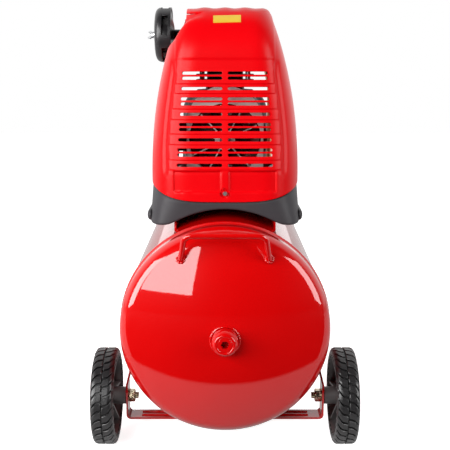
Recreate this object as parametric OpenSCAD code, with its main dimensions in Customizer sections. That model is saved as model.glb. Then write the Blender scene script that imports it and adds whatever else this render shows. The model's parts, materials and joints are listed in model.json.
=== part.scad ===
// Wheeled 50-litre air compressor: a lying air tank with a hooded, coaxial
// motor and piston pump on top. Millimetres, +Z up, the floor is z = 0.
// The tank's axis runs along Y: the wheels are at -Y and the controls at +Y.

/* [Tank] */
// Outer radius of the tank
tank_r = 150; // [145:1:155]
// Half of the length between the two head tangent lines
tank_half = 320; // [315:1:330]
// Height of the tank's axis above the floor
tank_z = 186; // [186:1:192]
// Wall thickness of shell and heads
tank_wall = 3; // [2.5:0.5:4]

/* [Wheels] */
// Outer radius of a tyre
wheel_r = 71; // [70:0.5:72]
// Width of a tyre
tyre_w = 33; // [30:1:34]
// Number of tread blocks on each half of a tyre
tread_blocks = 24; // [16:1:30]

/* [Hood] */
// Height of the hood's top above the floor
hood_top = 642; // [639:0.5:644]
// Largest half width of the hood
hood_w = 114; // [113:0.5:116]
// Wall thickness of hood and tray
hood_wall = 3; // [2.5:0.5:3]

/* [Pump] */
// Height of the motor and crank axis above the floor
axis_z = 447; // [446:0.5:448]
// Piston stroke
stroke = 36; // [32:1:38]
// Number of fan blades
fan_blades = 10; // [8:1:12]

/* [Hidden] */
$fn = 48;

paint_red = [0.85, 0.04, 0.03];
plastic_red = [0.9, 0.06, 0.05];
plastic_grey = [0.2, 0.2, 0.22];
plastic_black = [0.06, 0.06, 0.07];
rubber_black = [0.05, 0.05, 0.05];
cast_alu = [0.72, 0.73, 0.74];
cast_iron = [0.2, 0.2, 0.21];
steel = [0.6, 0.6, 0.62];
brass = [0.78, 0.62, 0.3];
copper = [0.76, 0.42, 0.27];

// Tank heads: a spherical crown, a rolled knuckle and a straight flange
crown_r = 340;
knuckle_r = 26;
flange = 25;
seam_y = tank_half - flange;
dome_h = crown_r - sqrt(pow(crown_r - knuckle_r, 2) - pow(tank_r - knuckle_r, 2));
socket_r = 18.5;
socket_end = tank_half + dome_h + 20.5;
plug_r = 10.3;
port_r = 14;
port_top = tank_z + tank_r + 16;
check_y = 140;
switch_y = 215;
box_y = switch_y - 14;

// Wheels and their bracket
axle_y = -278;
bracket_d = 30;
bracket_t = 3;
leg_x = 146.5;
tyre_in = 159.5;
tyre_out = tyre_in + tyre_w;
bead_r = 52;
bolt_r = 5;
hub_bore = bolt_r + 0.06;
foot_y = 245;
foot_x = 104;
foot_h = 25;

// Deck, tray and hood
deck_x = 75;
deck_top = 355;
deck_y0 = -248;
deck_y1 = 100;
tray_floor = 3;
hood_y0 = -262;
hood_y1 = 110;
hood_split = -100;
nose_depth = 150;
crease_z = 565;
nose_back = 74;
arch_r = 147;
filter_y = -20;
filter_z = 608;
filter_r = 45;

// Motor and pump
mount_x = 52;
mount_y = [-182, 20];
mount_top = 374;
throw = stroke / 2;
shaft_r = 8;
bore_r = 24.05;
pin_r = 5;
rod_len = 85;
pin_z = axis_z + throw + rod_len;
crown_z = pin_z + 18;
deck_z = crown_z + 2;
plate_t = 4;
head_z = deck_z + plate_t;
cyl_half = 48;

// Control group
gauge_r = 20;
tank_gauge = [-54, 205, 379];
line_gauge = [0, 284, 378];

// ---------- helpers ----------

function unit(v) = v / norm(v);

// Arc of points that rounds the corner p on the way from a to b
function corner_arc(a, p, b, bend) = let (
        back = unit(a - p),
        ahead = unit(b - p),
        turn = 180 - acos(back * ahead),
        centre = p + unit(back + ahead) * bend / cos(turn / 2),
        start = unit(p + back * bend * tan(turn / 2) - centre),
        steps = ceil(turn / 12))
    [for (i = [0 : steps]) centre
        + bend * (start * cos(turn * i / steps) - back * sin(turn * i / steps))];

// Round bar swept along points, with one bend radius at every inner corner
module bent_bar(points, r, bend, sides = 20) {
    last = len(points) - 1;
    path = [for (i = [0 : last]) each i == 0 || i == last ? [points[i]]
        : corner_arc(points[i - 1], points[i], points[i + 1], bend)];
    end = len(path) - 1;
    ways = [for (i = [0 : end]) unit(path[min(end, i + 1)] - path[max(0, i - 1)])];
    first_side = unit(cross(ways[0], abs(ways[0].z) < 0.9 ? [0, 0, 1] : [0, 1, 0]));
    across = [for (i = 0, v = first_side; i <= end;
        i = i + 1, v = unit(v - ways[min(end, i)] * (v * ways[min(end, i)]))) v];
    polyhedron(
        points = [for (i = [0 : end]) for (j = [0 : sides - 1]) path[i]
            + r * (across[i] * cos(360 * j / sides) + cross(ways[i], across[i]) * sin(360 * j / sides))],
        faces = concat(
            [[for (j = [0 : sides - 1]) j]],
            [[for (j = [sides - 1 : -1 : 0]) end * sides + j]],
            [for (i = [0 : end - 1]) for (j = [0 : sides - 1]) let (k = (j + 1) % sides)
                each [[i * sides + j, (i + 1) * sides + j, (i + 1) * sides + k],
                    [i * sides + j, (i + 1) * sides + k, i * sides + k]]]));
}

module ring(r_out, r_in, h) {
    difference() {
        cylinder(r = r_out, h = h);
        translate([0, 0, -1]) cylinder(r = r_in, h = h + 2);
    }
}

module hexagon(flats, h) {
    cylinder(r = flats / sqrt(3), h = h, $fn = 6);
}

// Child's +Z axis laid along +Y, at a place
module along_y(p) {
    translate(p) rotate([-90, 0, 0]) children();
}

// Child's +Z axis laid along +X or -X, at a place
module along_x(p, side = 1) {
    translate(p) rotate([0, 90 * side, 0]) children();
}

module tank_solid(extra = 0) {
    along_y([0, -tank_half, tank_z]) cylinder(r = tank_r + extra, h = 2 * tank_half, $fn = 96);
}

module mirrored_x() {
    children();
    mirror([1, 0, 0]) children();
}

// ---------- tank ----------

// Outline of a head in [radius, height]: height 0 is the tangent line
function head_curve(off) = let (
        rk = knuckle_r - off,
        rc = crown_r - off,
        span = asin((tank_r - knuckle_r) / (crown_r - knuckle_r)))
    concat(
        [for (i = [0 : 8]) let (a = i * (90 - span) / 8)
            [tank_r - knuckle_r + rk * cos(a), rk * sin(a)]],
        [for (i = [1 : 12]) let (a = span * (1 - i / 12))
            [rc * sin(a), rc * cos(a) - (crown_r - dome_h)]]);

module tank_head() {
    outer = head_curve(0);
    inner = head_curve(tank_wall);
    difference() {
        rotate_extrude($fn = 96) polygon(concat(
            [[tank_r, -flange]], outer,
            [for (i = [len(inner) - 1 : -1 : 0]) inner[i]],
            [[tank_r - tank_wall, -flange]]));
        translate([0, 0, -1]) cylinder(r = socket_r, h = crown_r);
    }
}

module rear_tank_head() {
    color(paint_red) translate([0, -tank_half, tank_z]) rotate([90, 0, 0]) tank_head();
}

module front_tank_head() {
    color(paint_red) translate([0, tank_half, tank_z]) rotate([-90, 0, 0]) tank_head();
}

module tank_shell() {
    bead_h = 3.6;
    color(paint_red) difference() {
        union() {
            along_y([0, -seam_y, tank_z]) cylinder(r = tank_r, h = 2 * seam_y, $fn = 96);
            for (y = [-seam_y, seam_y])
                along_y([0, y - bead_h / 2, tank_z]) ring(tank_r + 1.2, tank_r, bead_h, $fn = 96);
        }
        along_y([0, -seam_y - 1, tank_z])
            cylinder(r = tank_r - tank_wall, h = 2 * seam_y + 2, $fn = 96);
        for (y = [check_y, switch_y]) translate([0, y, tank_z]) cylinder(r = port_r, h = 2 * tank_r);
        cylinder(r = port_r - 3, h = tank_z);
    }
}

// Threaded socket with a hexagon-socket plug screwed flush into its end
module end_socket() {
    length = 27;
    translate([0, 0, -length]) difference() {
        union() {
            cylinder(r = socket_r, h = length - 6);
            translate([0, 0, length - 6]) cylinder(r1 = socket_r, r2 = socket_r - 3.5, h = 6);
        }
        translate([0, 0, -1]) cylinder(r = plug_r, h = length + 2);
    }
    translate([0, 0, -16]) difference() {
        cylinder(r = plug_r, h = 16);
        translate([0, 0, 6]) hexagon(10.6, 15);
    }
}

module tank_sockets() {
    port_h = 22;
    color(paint_red) {
        translate([0, -socket_end, tank_z]) rotate([90, 0, 0]) end_socket();
        translate([0, socket_end, tank_z]) rotate([-90, 0, 0]) end_socket();
        for (y = [check_y, switch_y]) translate([0, y, port_top - port_h]) ring(port_r, 8, port_h);
        translate([0, 0, tank_z - tank_r - 4]) ring(port_r - 3, 5, 12);
    }
}

// Bent-rod lifting handle, its two ends welded to the crown of the rear head
module rear_bail() {
    foot = [60.5, -tank_half - 31.3, tank_z + 109];
    top = [54.5, -tank_half - 48, tank_z + 145];
    points = [foot, top, [-top.x, top.y, top.z], [-foot.x, foot.y, foot.z]];
    color(paint_red) bent_bar(points, 4, 12, 24);
}

// ---------- wheels ----------

module bracket_outline() {
    dip_z = tank_z - tank_r - bracket_t;
    low = dip_z + 6;
    polygon(concat(
        [[-40, dip_z], [40, dip_z], [62, low], [leg_x - 6, low], [leg_x - 1.8, low + 1.8],
            [leg_x, low + 6], [leg_x, 92], [138, 126], [135, 125], [leg_x - bracket_t, 91.6],
            [leg_x - bracket_t, low + 6], [leg_x - 6, low + bracket_t], [61, low + bracket_t],
            [39, dip_z + bracket_t]],
        [[-39, dip_z + bracket_t], [-61, low + bracket_t], [6 - leg_x, low + bracket_t],
            [bracket_t - leg_x, low + 6], [bracket_t - leg_x, 91.6], [-135, 125], [-138, 126],
            [-leg_x, 92], [-leg_x, low + 6], [1.8 - leg_x, low + 1.8], [6 - leg_x, low],
            [-62, low]]));
}

module wheel_bracket() {
    low = tank_z - tank_r - bracket_t + 6;
    color(paint_red) difference() {
        union() {
            translate([0, axle_y + bracket_d / 2, 0]) rotate([90, 0, 0])
                linear_extrude(bracket_d) bracket_outline();
            mirrored_x() for (dy = [-6, 6])
                along_x([72, axle_y + dy, low + bracket_t]) cylinder(r = 2, h = 52);
        }
        tank_solid();
        mirrored_x() along_x([leg_x - 10, axle_y, wheel_r]) cylinder(r = bolt_r + 0.15, h = 20);
    }
}

module axle_bolt() {
    head_in = tyre_out - 6.4;
    along_x([leg_x - 17.5, axle_y, wheel_r]) cylinder(r = bolt_r, h = head_in - leg_x + 17.5);
    along_x([head_in, axle_y, wheel_r]) hexagon(17, 6.4);
    along_x([head_in - 1.6, axle_y, wheel_r]) ring(11, bolt_r, 1.6);
    along_x([leg_x - bracket_t - 9.5, axle_y, wheel_r]) difference() {
        hexagon(17, 9.5);
        translate([0, 0, -1]) cylinder(r = bolt_r, h = 12);
    }
}

module axle_bolts() {
    color(brass) mirrored_x() axle_bolt();
}

module tyre() {
    edge = tyre_w / 2;
    pitch = 360 / tread_blocks;
    groove = 2.6;
    color(rubber_black) translate([(tyre_in + tyre_out) / 2, axle_y, wheel_r]) rotate([0, 90, 0])
    difference() {
        rotate_extrude($fn = 96) polygon([[bead_r, -edge], [wheel_r - 7, -edge],
            [wheel_r - 2, 2.5 - edge], [wheel_r, 5.5 - edge], [wheel_r, -0.8],
            [wheel_r - groove, -0.8], [wheel_r - groove, 0.8], [wheel_r, 0.8],
            [wheel_r, edge - 5.5], [wheel_r - 2, edge - 2.5], [wheel_r - 7, edge],
            [bead_r, edge]]);
        for (side = [-1, 1]) for (i = [0 : tread_blocks - 1])
            rotate([0, 0, pitch * (i + side / 4)])
                translate([wheel_r - groove, 0, side * (edge / 2 + 1)]) rotate([side * 24, 0, 0])
                    translate([0, -1, -edge / 2 - 2]) cube([8, 2, edge + 4]);
    }
}

module left_tyre() { mirror([1, 0, 0]) tyre(); }
module right_tyre() { tyre(); }

// Spoked plastic wheel: a deep rim, a web with triangular windows and a long hub
module rim() {
    windows = 6;
    web_x = tyre_out - 14;
    hub_in = leg_x + 0.5;
    hub_out = tyre_out - 8.1;
    color(plastic_black) difference() {
        union() {
            along_x([tyre_in + 0.5, axle_y, wheel_r]) ring(bead_r, bead_r - 5, tyre_w - 1, $fn = 96);
            along_x([web_x, axle_y, wheel_r]) cylinder(r = bead_r - 4, h = 4);
            along_x([hub_in, axle_y, wheel_r]) cylinder(r = 13, h = hub_out - hub_in);
            for (i = [0 : windows - 1]) translate([0, axle_y, wheel_r])
                rotate([60 * i, 0, 0]) translate([tyre_in + 8, -1.5, 8])
                    cube([web_x - tyre_in - 7, 3, bead_r - 12]);
        }
        along_x([hub_in - 1, axle_y, wheel_r]) cylinder(r = hub_bore, h = 60);
        for (i = [0 : windows - 1]) translate([web_x - 2, axle_y, wheel_r])
            rotate([60 * i + 30, 0, 0]) rotate([0, 90, 0]) linear_extrude(8)
                polygon([[-18, 0], [-41, -13], [-42.5, 0], [-41, 13]]);
    }
}

module left_rim() { mirror([1, 0, 0]) rim(); }
module right_rim() { rim(); }

module foot_bracket() {
    strip_x = foot_x + 18;
    color(paint_red) difference() {
        union() {
            translate([-strip_x, foot_y - 15, foot_h]) cube([2 * strip_x, 30, bracket_t]);
            mirrored_x() translate([0, foot_y + 15, 0]) rotate([90, 0, 0]) linear_extrude(30)
                polygon([[80, foot_h + 1], [84, foot_h + 1], [79, 66], [75, 66]]);
        }
        tank_solid();
        mirrored_x() translate([foot_x, foot_y, 0]) cylinder(r = 3.3, h = 60);
    }
}

module rubber_feet() {
    color(rubber_black) {
        mirrored_x() translate([foot_x, foot_y, 0]) difference() {
            cylinder(r1 = 19, r2 = 15, h = foot_h);
            translate([0, 0, 10]) cylinder(r = 3.3, h = foot_h);
        }
        for (y = mount_y) mirrored_x() translate([mount_x, y, deck_top + tray_floor])
            ring(13, 4.3, mount_top - deck_top - tray_floor);
    }
}

// Foot screws, pump mounting bolts, cylinder head bolts and hood screws
module fasteners() {
    head_corner = cyl_half - 9;
    color(steel) {
        mirrored_x() translate([foot_x, foot_y, 0]) {
            translate([0, 0, 11]) cylinder(r = 3, h = foot_h + bracket_t - 11);
            translate([0, 0, foot_h + bracket_t]) hexagon(10, 4);
        }
        for (y = mount_y) mirrored_x() translate([mount_x, y, 0]) {
            translate([0, 0, deck_top - bracket_t - 1]) cylinder(r = 4, h = mount_top - deck_top + 10);
            translate([0, 0, mount_top + 6]) hexagon(13, 5);
            translate([0, 0, deck_top - bracket_t - 5.5]) difference() {
                hexagon(13, 5.5);
                translate([0, 0, -1]) cylinder(r = 4, h = 8);
            }
        }
        for (x = [-head_corner, head_corner]) for (y = [-head_corner, head_corner])
            translate([x, y, 0]) {
                translate([0, 0, head_z + 12]) hexagon(12, 7);
                translate([0, 0, deck_z - 40]) cylinder(r = 3.5, h = head_z + 12 - deck_z + 40);
            }
        screw_places() {
            translate([0, 0, 0.4]) cylinder(r1 = 3.6, r2 = 2.8, h = 1.8);
            translate([0, 0, -9]) cylinder(r = 2.2, h = 9.8);
        }
    }
}

// ---------- deck, tray and hood ----------

module motor_deck() {
    skirt = 40;
    color(paint_red) difference() {
        union() {
            translate([-deck_x, deck_y0, deck_top - bracket_t])
                cube([2 * deck_x, deck_y1 - deck_y0, bracket_t]);
            mirrored_x() translate([deck_x - bracket_t, deck_y0, deck_top - skirt])
                cube([bracket_t, deck_y1 - deck_y0, skirt]);
            translate([-deck_x, deck_y1 - bracket_t, deck_top - skirt])
                cube([2 * deck_x, bracket_t, skirt]);
        }
        tank_solid();
        for (y = mount_y) mirrored_x() translate([mount_x, y, 0]) cylinder(r = 4.3, h = 400);
    }
}

// Half width of the hood at height z, and the y of its rear face there
function flank_x(z) = hood_w - 39.3 * pow(max(0, z - 385) / 236, 2.2) + max(0, 385 - z) * 0.04;
function nose_y(z) = hood_y0 + 15 * max(0, min(1, (z - 400) / (crease_z - 400)));

// Outline from above of half width w and rear face y0, square in front; a higher power makes
// squarer rear corners
function outline(w, y0, power) = let (
        flat = 0.36 * w,
        steps = 12,
        corner = [for (i = [0 : steps]) let (a = 90 * i / steps)
            [flat + (w - flat) * pow(cos(a), 2 / power),
                y0 + nose_depth * (1 - pow(sin(a), 2 / power))]])
    concat(
        [[w, hood_y1]], corner,
        [for (i = [steps : -1 : 0]) [-corner[i].x, corner[i].y]],
        [[-w, hood_y1]]);

function hood_plan(off) = outline(hood_w - off, hood_y0 + off, 3.2);

// Points up one side of the hood, a flank that ends in a round shoulder: [half width, height]
function hood_rise(z0, off) = let (
        shoulder = 9,
        body_top = hood_top - off - shoulder)
    concat(
        [[flank_x(z0) - off, z0]],
        [for (i = [0 : 9]) let (z = 390 + (body_top - 390) * i / 9) [flank_x(z) - off, z]],
        [for (a = [25, 50, 75, 90]) [flank_x(body_top) - off - shoulder * (1 - cos(a)),
            body_top + shoulder * sin(a)]]);

// Points up the rear face, which bends back in a quarter ellipse above the crease: [y, height]
function nose_rise(z0, off) = concat(
    [[nose_y(z0) + off, z0], [nose_y(400) + off, 400]],
    [for (a = [0 : 10 : 90]) [nose_y(crease_z) + off + nose_back * (1 - cos(a)),
        crease_z + (hood_top - off - crease_z) * sin(a)]]);

// The hood's body down to z0: its outlines from behind, from the side and from above, crossed
module hood_solid(z0, off) {
    rise = hood_rise(z0, off);
    down = [for (i = [len(rise) - 1 : -1 : 0]) rise[i]];
    intersection() {
        translate([0, hood_y1 + 1, 0]) rotate([90, 0, 0]) linear_extrude(hood_y1 - hood_y0 + 2)
            polygon(concat(rise, [for (p = down) [-p.x, p.y]]));
        rotate([90, 0, 90]) linear_extrude(2 * hood_w + 2, center = true)
            polygon(concat(nose_rise(z0, off), [[hood_y1, hood_top - off], [hood_y1, z0]]));
        linear_extrude(hood_top + 1) polygon(hood_plan(off));
    }
}

// Height of the joint line between hood and tray across the machine
function joint_z(x) = 360.5 + 20 * pow(min(abs(x), 116) / 110, 3.5);
// Height of the tray's lower edge, an arc over the tank that runs out into a straight foot
function arch_z(x) = let (over = 24.7 - arch_r + sqrt(arch_r * arch_r - x * x))
    324.5 + (over + sqrt(over * over + 36)) / 2;

// Everything below the joint line, raised by dz
module below_joint(dz) {
    translate([0, hood_y1 + 20, 0]) rotate([90, 0, 0]) linear_extrude(hood_y1 - hood_y0 + 40)
        polygon(concat([[150, 300], [150, joint_z(150) + dz]],
            [for (x = [120 : -10 : -120]) [x, joint_z(x) + dz]],
            [[-150, joint_z(150) + dz], [-150, 300]]));
}

// Outline of a round-ended slot from x0 to x1
module slot_outline(x0, x1, r) {
    polygon(concat(
        [for (a = [-90 : 30 : 90]) [x1 - r + r * cos(a), r * sin(a)]],
        [for (a = [90 : 30 : 270]) [x0 + r + r * cos(a), r * sin(a)]]));
}

// Slots in the rear face: pairs and single rows take turns
module vent_slots() {
    pitch = 18.25;
    slot_r = 2.3;
    gap = 4;
    translate([0, hood_y0 + 40, 0]) rotate([90, 0, 0]) linear_extrude(60) mirrored_x()
        for (k = [0 : 7]) for (dz = k % 2 == 0 ? [-3.6, 3.6] : [0])
            translate([0, 541.9 - pitch * k + dz]) slot_outline(gap, 62 + 8 * k / 7, slot_r);
}

// Teardrop opening in the left flank, which the intake filter stands in
module filter_opening() {
    big = [filter_y, filter_z];
    small = [-205, 605];
    big_r = filter_r + 5;
    small_r = 7;
    way = atan2(small.y - big.y, small.x - big.x);
    touch = acos((big_r - small_r) / norm(small - big));
    rotate([90, 0, 90]) translate([0, 0, -150]) linear_extrude(120)
        polygon(concat(
            [for (i = [0 : 24]) let (a = way + touch + (360 - 2 * touch) * i / 24)
                big + big_r * [cos(a), sin(a)]],
            [for (i = [0 : 6]) let (a = way - touch + 2 * touch * i / 6)
                small + small_r * [cos(a), sin(a)]]));
}

module hood_shell() {
    difference() {
        hood_solid(352, 0);
        hood_solid(340, hood_wall);
        translate([-200, hood_y1 - 6, 300]) cube([400, 40, 400]);
        below_joint(0.4);
        vent_slots();
        filter_opening();
        screw_places() translate([0, 0, -12]) cylinder(r = 2.7, h = 24, $fn = 16);
    }
}

module hood_rear() {
    color(plastic_red) intersection() {
        hood_shell();
        translate([-200, -400, 300]) cube([400, 400 + hood_split - 0.3, 400]);
    }
}

module hood_front() {
    color(plastic_red) difference() {
        hood_shell();
        translate([-200, -400, 300]) cube([400, 400 + hood_split + 0.3, 400]);
    }
}

// Children's +Z axis points out of the hood at each screw
module screw_places() {
    translate([0, hood_y0, 373]) rotate([90, 0, 0]) children();
    for (y = [-62, 70]) mirrored_x() along_x([flank_x(430), y, 430]) children();
}

// The tray's body down to its foot, which flares a little and has squarer corners than the hood
module tray_solid(off) {
    hull() {
        translate([0, 0, 322]) linear_extrude(1) polygon(outline(hood_w + 2 - off, hood_y0 + off, 6));
        translate([0, 0, 384]) linear_extrude(20) polygon(hood_plan(off));
    }
}

// Moulded tray between deck and hood: floor, skirt with an arch over the tank, side rails
module base_tray() {
    inset = 1.2;
    color(plastic_grey) difference() {
        union() {
            intersection() {
                union() {
                    difference() {
                        tray_solid(inset);
                        tray_solid(inset + hood_wall);
                    }
                    translate([0, 0, deck_top]) linear_extrude(tray_floor)
                        polygon(hood_plan(inset + 1));
                }
                below_joint(-0.4);
                translate([0, hood_y1 + 1, 0]) rotate([90, 0, 0]) linear_extrude(500)
                    polygon(concat([[140, 500]], [for (x = [140 : -7 : -140]) [x, arch_z(x)]],
                        [[-140, 500]]));
            }
            mirrored_x() translate([110.5, -222, 328]) cube([7, 312, 9]);
            translate([-108, hood_y1 - hood_wall, deck_top]) cube([216, hood_wall, 22]);
        }
        for (y = mount_y) mirrored_x() translate([mount_x, y, 0]) cylinder(r = 4.3, h = 400);
        translate([0, hood_y0 + 20, 373]) rotate([90, 0, 0]) cylinder(r = 2.7, h = 30);
        translate([-89, hood_y1 - 10, 366]) cube([19, 20, 30]);
    }
}

module push_handle() {
    x = 78;
    color(plastic_black) difference() {
        bent_bar([[-x, 268, 296], [-x, 364, 500], [x, 364, 500], [x, 268, 296]], 11, 36);
        tank_solid();
    }
}

module handle_grip() {
    color(rubber_black) along_x([-41, 364, 500]) ring(15, 11, 82);
}

// ---------- motor ----------

module stator() {
    color(cast_iron) {
        along_y([0, -155, axis_z]) ring(62, 34.6, 90);
        for (y = [-169, -65]) along_y([0, y, axis_z]) ring(55, 40, 14);
    }
}

// Arched housing around the fan
module fan_ring() {
    y0 = -221;
    depth = 24;
    color(cast_alu) difference() {
        union() {
            along_y([0, y0, axis_z + 23]) cylinder(r = 57, h = depth);
            translate([-57, y0, 384]) cube([114, depth, axis_z + 23 - 384]);
        }
        along_y([0, y0 - 1, axis_z]) cylinder(r = 54, h = depth + 2);
    }
}

module end_shield() {
    rows = 8;
    color(cast_alu) difference() {
        union() {
            along_y([0, -187, axis_z]) cylinder(r = 64, h = 6);
            along_y([0, -181.5, axis_z]) ring(64, 58.5, 26.5);
            along_y([0, -187, axis_z]) cylinder(r = 24, h = 16);
            for (i = [0 : 2]) translate([0, 0, axis_z]) rotate([0, 120 * i + 90, 0])
                translate([59, -197, 0]) along_y([0, 0, 0]) cylinder(r = 4, h = 10);
            translate([-62, -194, mount_top]) cube([124, 24, 6]);
            mirrored_x() translate([34, -187, mount_top]) cube([8, 6, 30]);
        }
        along_y([0, -200, axis_z]) cylinder(r = 17.5, h = 60);
        for (i = [0 : rows - 1]) translate([0, 0, axis_z]) rotate([0, 360 / rows * i, 0])
            translate([41, -200, 0]) along_y([0, 0, 0]) cylinder(r = 11, h = 20);
        for (x = [-mount_x, mount_x]) translate([x, mount_y[0], 0]) cylinder(r = 4.3, h = 390);
    }
    fan_ring();
}

// Terminal box on the motor's flank and the run capacitor lying in the tray
module motor_electrics() {
    color(plastic_black) {
        difference() {
            translate([-92, -140, 424]) cube([36, 60, 46]);
            along_y([0, -150, axis_z]) cylinder(r = 62.3, h = 80);
            translate([-89, -137, 427]) cube([22, 54, 40]);
            along_y([-78, -90, 440]) cylinder(r = 4, h = 20);
        }
        along_y([85, -150, 378]) {
            cylinder(r = 19, h = 72);
            cylinder(r = 16, h = 77);
            for (dx = [-6, 6]) translate([dx - 2, -0.5, 76]) cube([4, 1, 9]);
        }
    }
}

// Lead from the pressure switch to the terminal box, clipped along the deck
module motor_lead() {
    color(plastic_black) bent_bar([[-22, box_y - 38.2, 412], [-22, 150, 412], [-60, 140, 371],
        [-84, 100, 371], [-86, -20, 371], [-78, -50, 440], [-78, -79.8, 440]], 3.5, 10, 12);
}

module shaft_bearings() {
    color(steel) {
        along_y([0, -185, axis_z]) ring(17.4, shaft_r + 0.05, 12);
        along_y([0, -44, axis_z]) ring(17.4, shaft_r + 0.05, 12);
    }
}

module rotor() {
    color(steel) along_y([0, -155, axis_z]) ring(34, shaft_r, 90);
}

module fan() {
    hub_r = 15;
    color(cast_alu) {
        along_y([0, -219, axis_z]) difference() {
            union() {
                cylinder(r = hub_r, h = 20);
                translate([0, 0, 17]) cylinder(r = 34, h = 2);
                for (i = [0 : fan_blades - 1]) rotate([0, 0, 360 / fan_blades * i + 11])
                    translate([hub_r - 2, -0.9, 1]) cube([52 - hub_r + 2, 1.8, 17]);
            }
            translate([0, 0, -1]) cylinder(r = shaft_r, h = 30);
        }
    }
}

// Motor shaft with an overhung crank: its pin stops short of the rod's big end
module crankshaft() {
    web_y = -28;
    color(steel) {
        along_y([0, -224, axis_z]) cylinder(r = shaft_r, h = 224 + web_y);
        along_y([0, web_y, axis_z]) difference() {
            cylinder(r = 30, h = 12);
            translate([12, -40, -1]) cube([30, 28, 14]);
            translate([-42, -40, -1]) cube([30, 28, 14]);
        }
        along_y([0, web_y + 12, axis_z + throw]) cylinder(r = 8, h = 9.5);
    }
}

// ---------- pump ----------

module crankcase() {
    floor_z = mount_top + 18;
    color(cast_iron) difference() {
        union() {
            translate([-52, -44, mount_top + 6]) cube([104, 84, 500 - mount_top - 6]);
            translate([-62, -4, mount_top]) cube([124, 40, 6]);
            along_y([0, -65, axis_z]) ring(64, 58.5, 22);
        }
        translate([-44, -32, floor_z]) cube([88, 73, 492 - floor_z]);
        along_y([0, -70, axis_z]) cylinder(r = 17.5, h = 60);
        translate([0, 0, 480]) cylinder(r = 27, h = 40);
        for (x = [-mount_x, mount_x]) translate([x, mount_y[1], 0]) {
            cylinder(r = 4.3, h = 390);
            translate([0, 0, mount_top + 6]) cylinder(r = 9, h = 12);
        }
    }
}

module crankcase_cover() {
    color(cast_alu) difference() {
        union() {
            translate([-52, 40, mount_top + 10]) cube([104, 7, 490 - mount_top]);
            along_y([0, 46, axis_z]) cylinder(r = 32, h = 8);
            along_y([0, 46, 412]) cylinder(r = 16, h = 8);
        }
        along_y([0, 38, axis_z]) cylinder(r = 27, h = 12);
        along_y([0, 38, 412]) cylinder(r = 11, h = 20);
        along_y([38, 38, 476]) cylinder(r = 7.55, h = 20);
    }
}

module sight_glass() {
    color([0.85, 0.7, 0.35]) along_y([0, 47, 412]) cylinder(r = 11, h = 8);
}

module oil_filler() {
    color(plastic_red) {
        along_y([38, 41, 476]) cylinder(r = 7.5, h = 7);
        translate([36.5, 56, 468]) cube([3, 8, 16]);
        along_y([38, 47.4, 476]) cylinder(r = 11, h = 12);
    }
}

module cylinder_barrel() {
    color(cast_iron) difference() {
        union() {
            translate([0, 0, 500]) cylinder(r = 31, h = deck_z - 500);
            for (z = [514 : 9 : deck_z - 8]) translate([-cyl_half, -cyl_half, z])
                cube([2 * cyl_half, 2 * cyl_half, 2.6]);
            translate([-cyl_half, -cyl_half, deck_z - 7]) cube([2 * cyl_half, 2 * cyl_half, 7]);
        }
        translate([0, 0, 490]) cylinder(r = bore_r, h = 100);
        for (x = [9 - cyl_half, cyl_half - 9]) for (y = [9 - cyl_half, cyl_half - 9])
            translate([x, y, deck_z - 40.5]) cylinder(r = 3.6, h = 60);
    }
}

module valve_plate() {
    color(steel) translate([0, 0, deck_z]) difference() {
        translate([-cyl_half, -cyl_half, 0]) cube([2 * cyl_half, 2 * cyl_half, plate_t]);
        for (x = [-11, 11]) for (y = [-6, 6]) translate([x, y, -1]) cylinder(r = 4, h = 8);
        for (x = [9 - cyl_half, cyl_half - 9]) for (y = [9 - cyl_half, cyl_half - 9])
            translate([x, y, -1]) cylinder(r = 3.6, h = 8);
    }
}

module cylinder_head() {
    top = 620;
    color(cast_alu) difference() {
        union() {
            translate([-cyl_half, -cyl_half, head_z]) cube([2 * cyl_half, 2 * cyl_half, 12]);
            translate([-31, -cyl_half + 4, head_z + 11]) cube([62, 2 * cyl_half - 8, top - head_z - 11]);
            translate([-cyl_half + 4, -30, head_z + 11]) cube([2 * cyl_half - 8, 60, top - head_z - 11]);
            for (i = [-3 : 3]) translate([9.5 * i - 1.5, -cyl_half + 4, top - 1])
                cube([3, 2 * cyl_half - 8, 11]);
            along_x([-44, filter_y, filter_z], -1) cylinder(r = 14, h = 11);
            along_x([44, 10, 604]) cylinder(r = 11, h = 7);
        }
        translate([-26, -26, head_z - 1]) cube([24, 52, 26]);
        translate([2, -26, head_z - 1]) cube([24, 52, 26]);
        along_x([-20, filter_y, filter_z], -1) cylinder(r = 9, h = 40);
        along_x([20, 10, 604]) cylinder(r = 6, h = 40);
        for (x = [9 - cyl_half, cyl_half - 9]) for (y = [9 - cyl_half, cyl_half - 9])
            translate([x, y, head_z - 1]) cylinder(r = 3.6, h = 60);
    }
}

// Piston with its ring grooves; the wrist pin lies along Y
module piston() {
    r = bore_r - 0.05;
    skirt_z = pin_z - 16;
    color(cast_alu) difference() {
        rotate_extrude() polygon([[0, skirt_z], [r, skirt_z], [r, crown_z - 12],
            [r - 2, crown_z - 12], [r - 2, crown_z - 10], [r, crown_z - 10], [r, crown_z - 7],
            [r - 2, crown_z - 7], [r - 2, crown_z - 5], [r, crown_z - 5], [r, crown_z],
            [0, crown_z]]);
        translate([-17, -7.5, skirt_z - 1]) cube([34, 15, 30]);
        along_y([0, -40, pin_z]) cylinder(r = pin_r, h = 80);
    }
}

module wrist_pin() {
    color(steel) along_y([0, -21, pin_z]) cylinder(r = pin_r, h = 42);
}

module connecting_rod() {
    big_z = pin_z - rod_len;
    color(cast_alu) difference() {
        union() {
            along_y([0, -6, big_z]) cylinder(r = 14, h = 12);
            along_y([0, -6, pin_z]) cylinder(r = 9.5, h = 12);
            translate([-6, -4, big_z + 8]) cube([12, 8, rod_len - 12]);
        }
        along_y([0, -10, big_z]) cylinder(r = 8.1, h = 20);
        along_y([0, -10, pin_z]) cylinder(r = pin_r + 0.05, h = 20);
    }
}

// ---------- intake filter ----------

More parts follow.
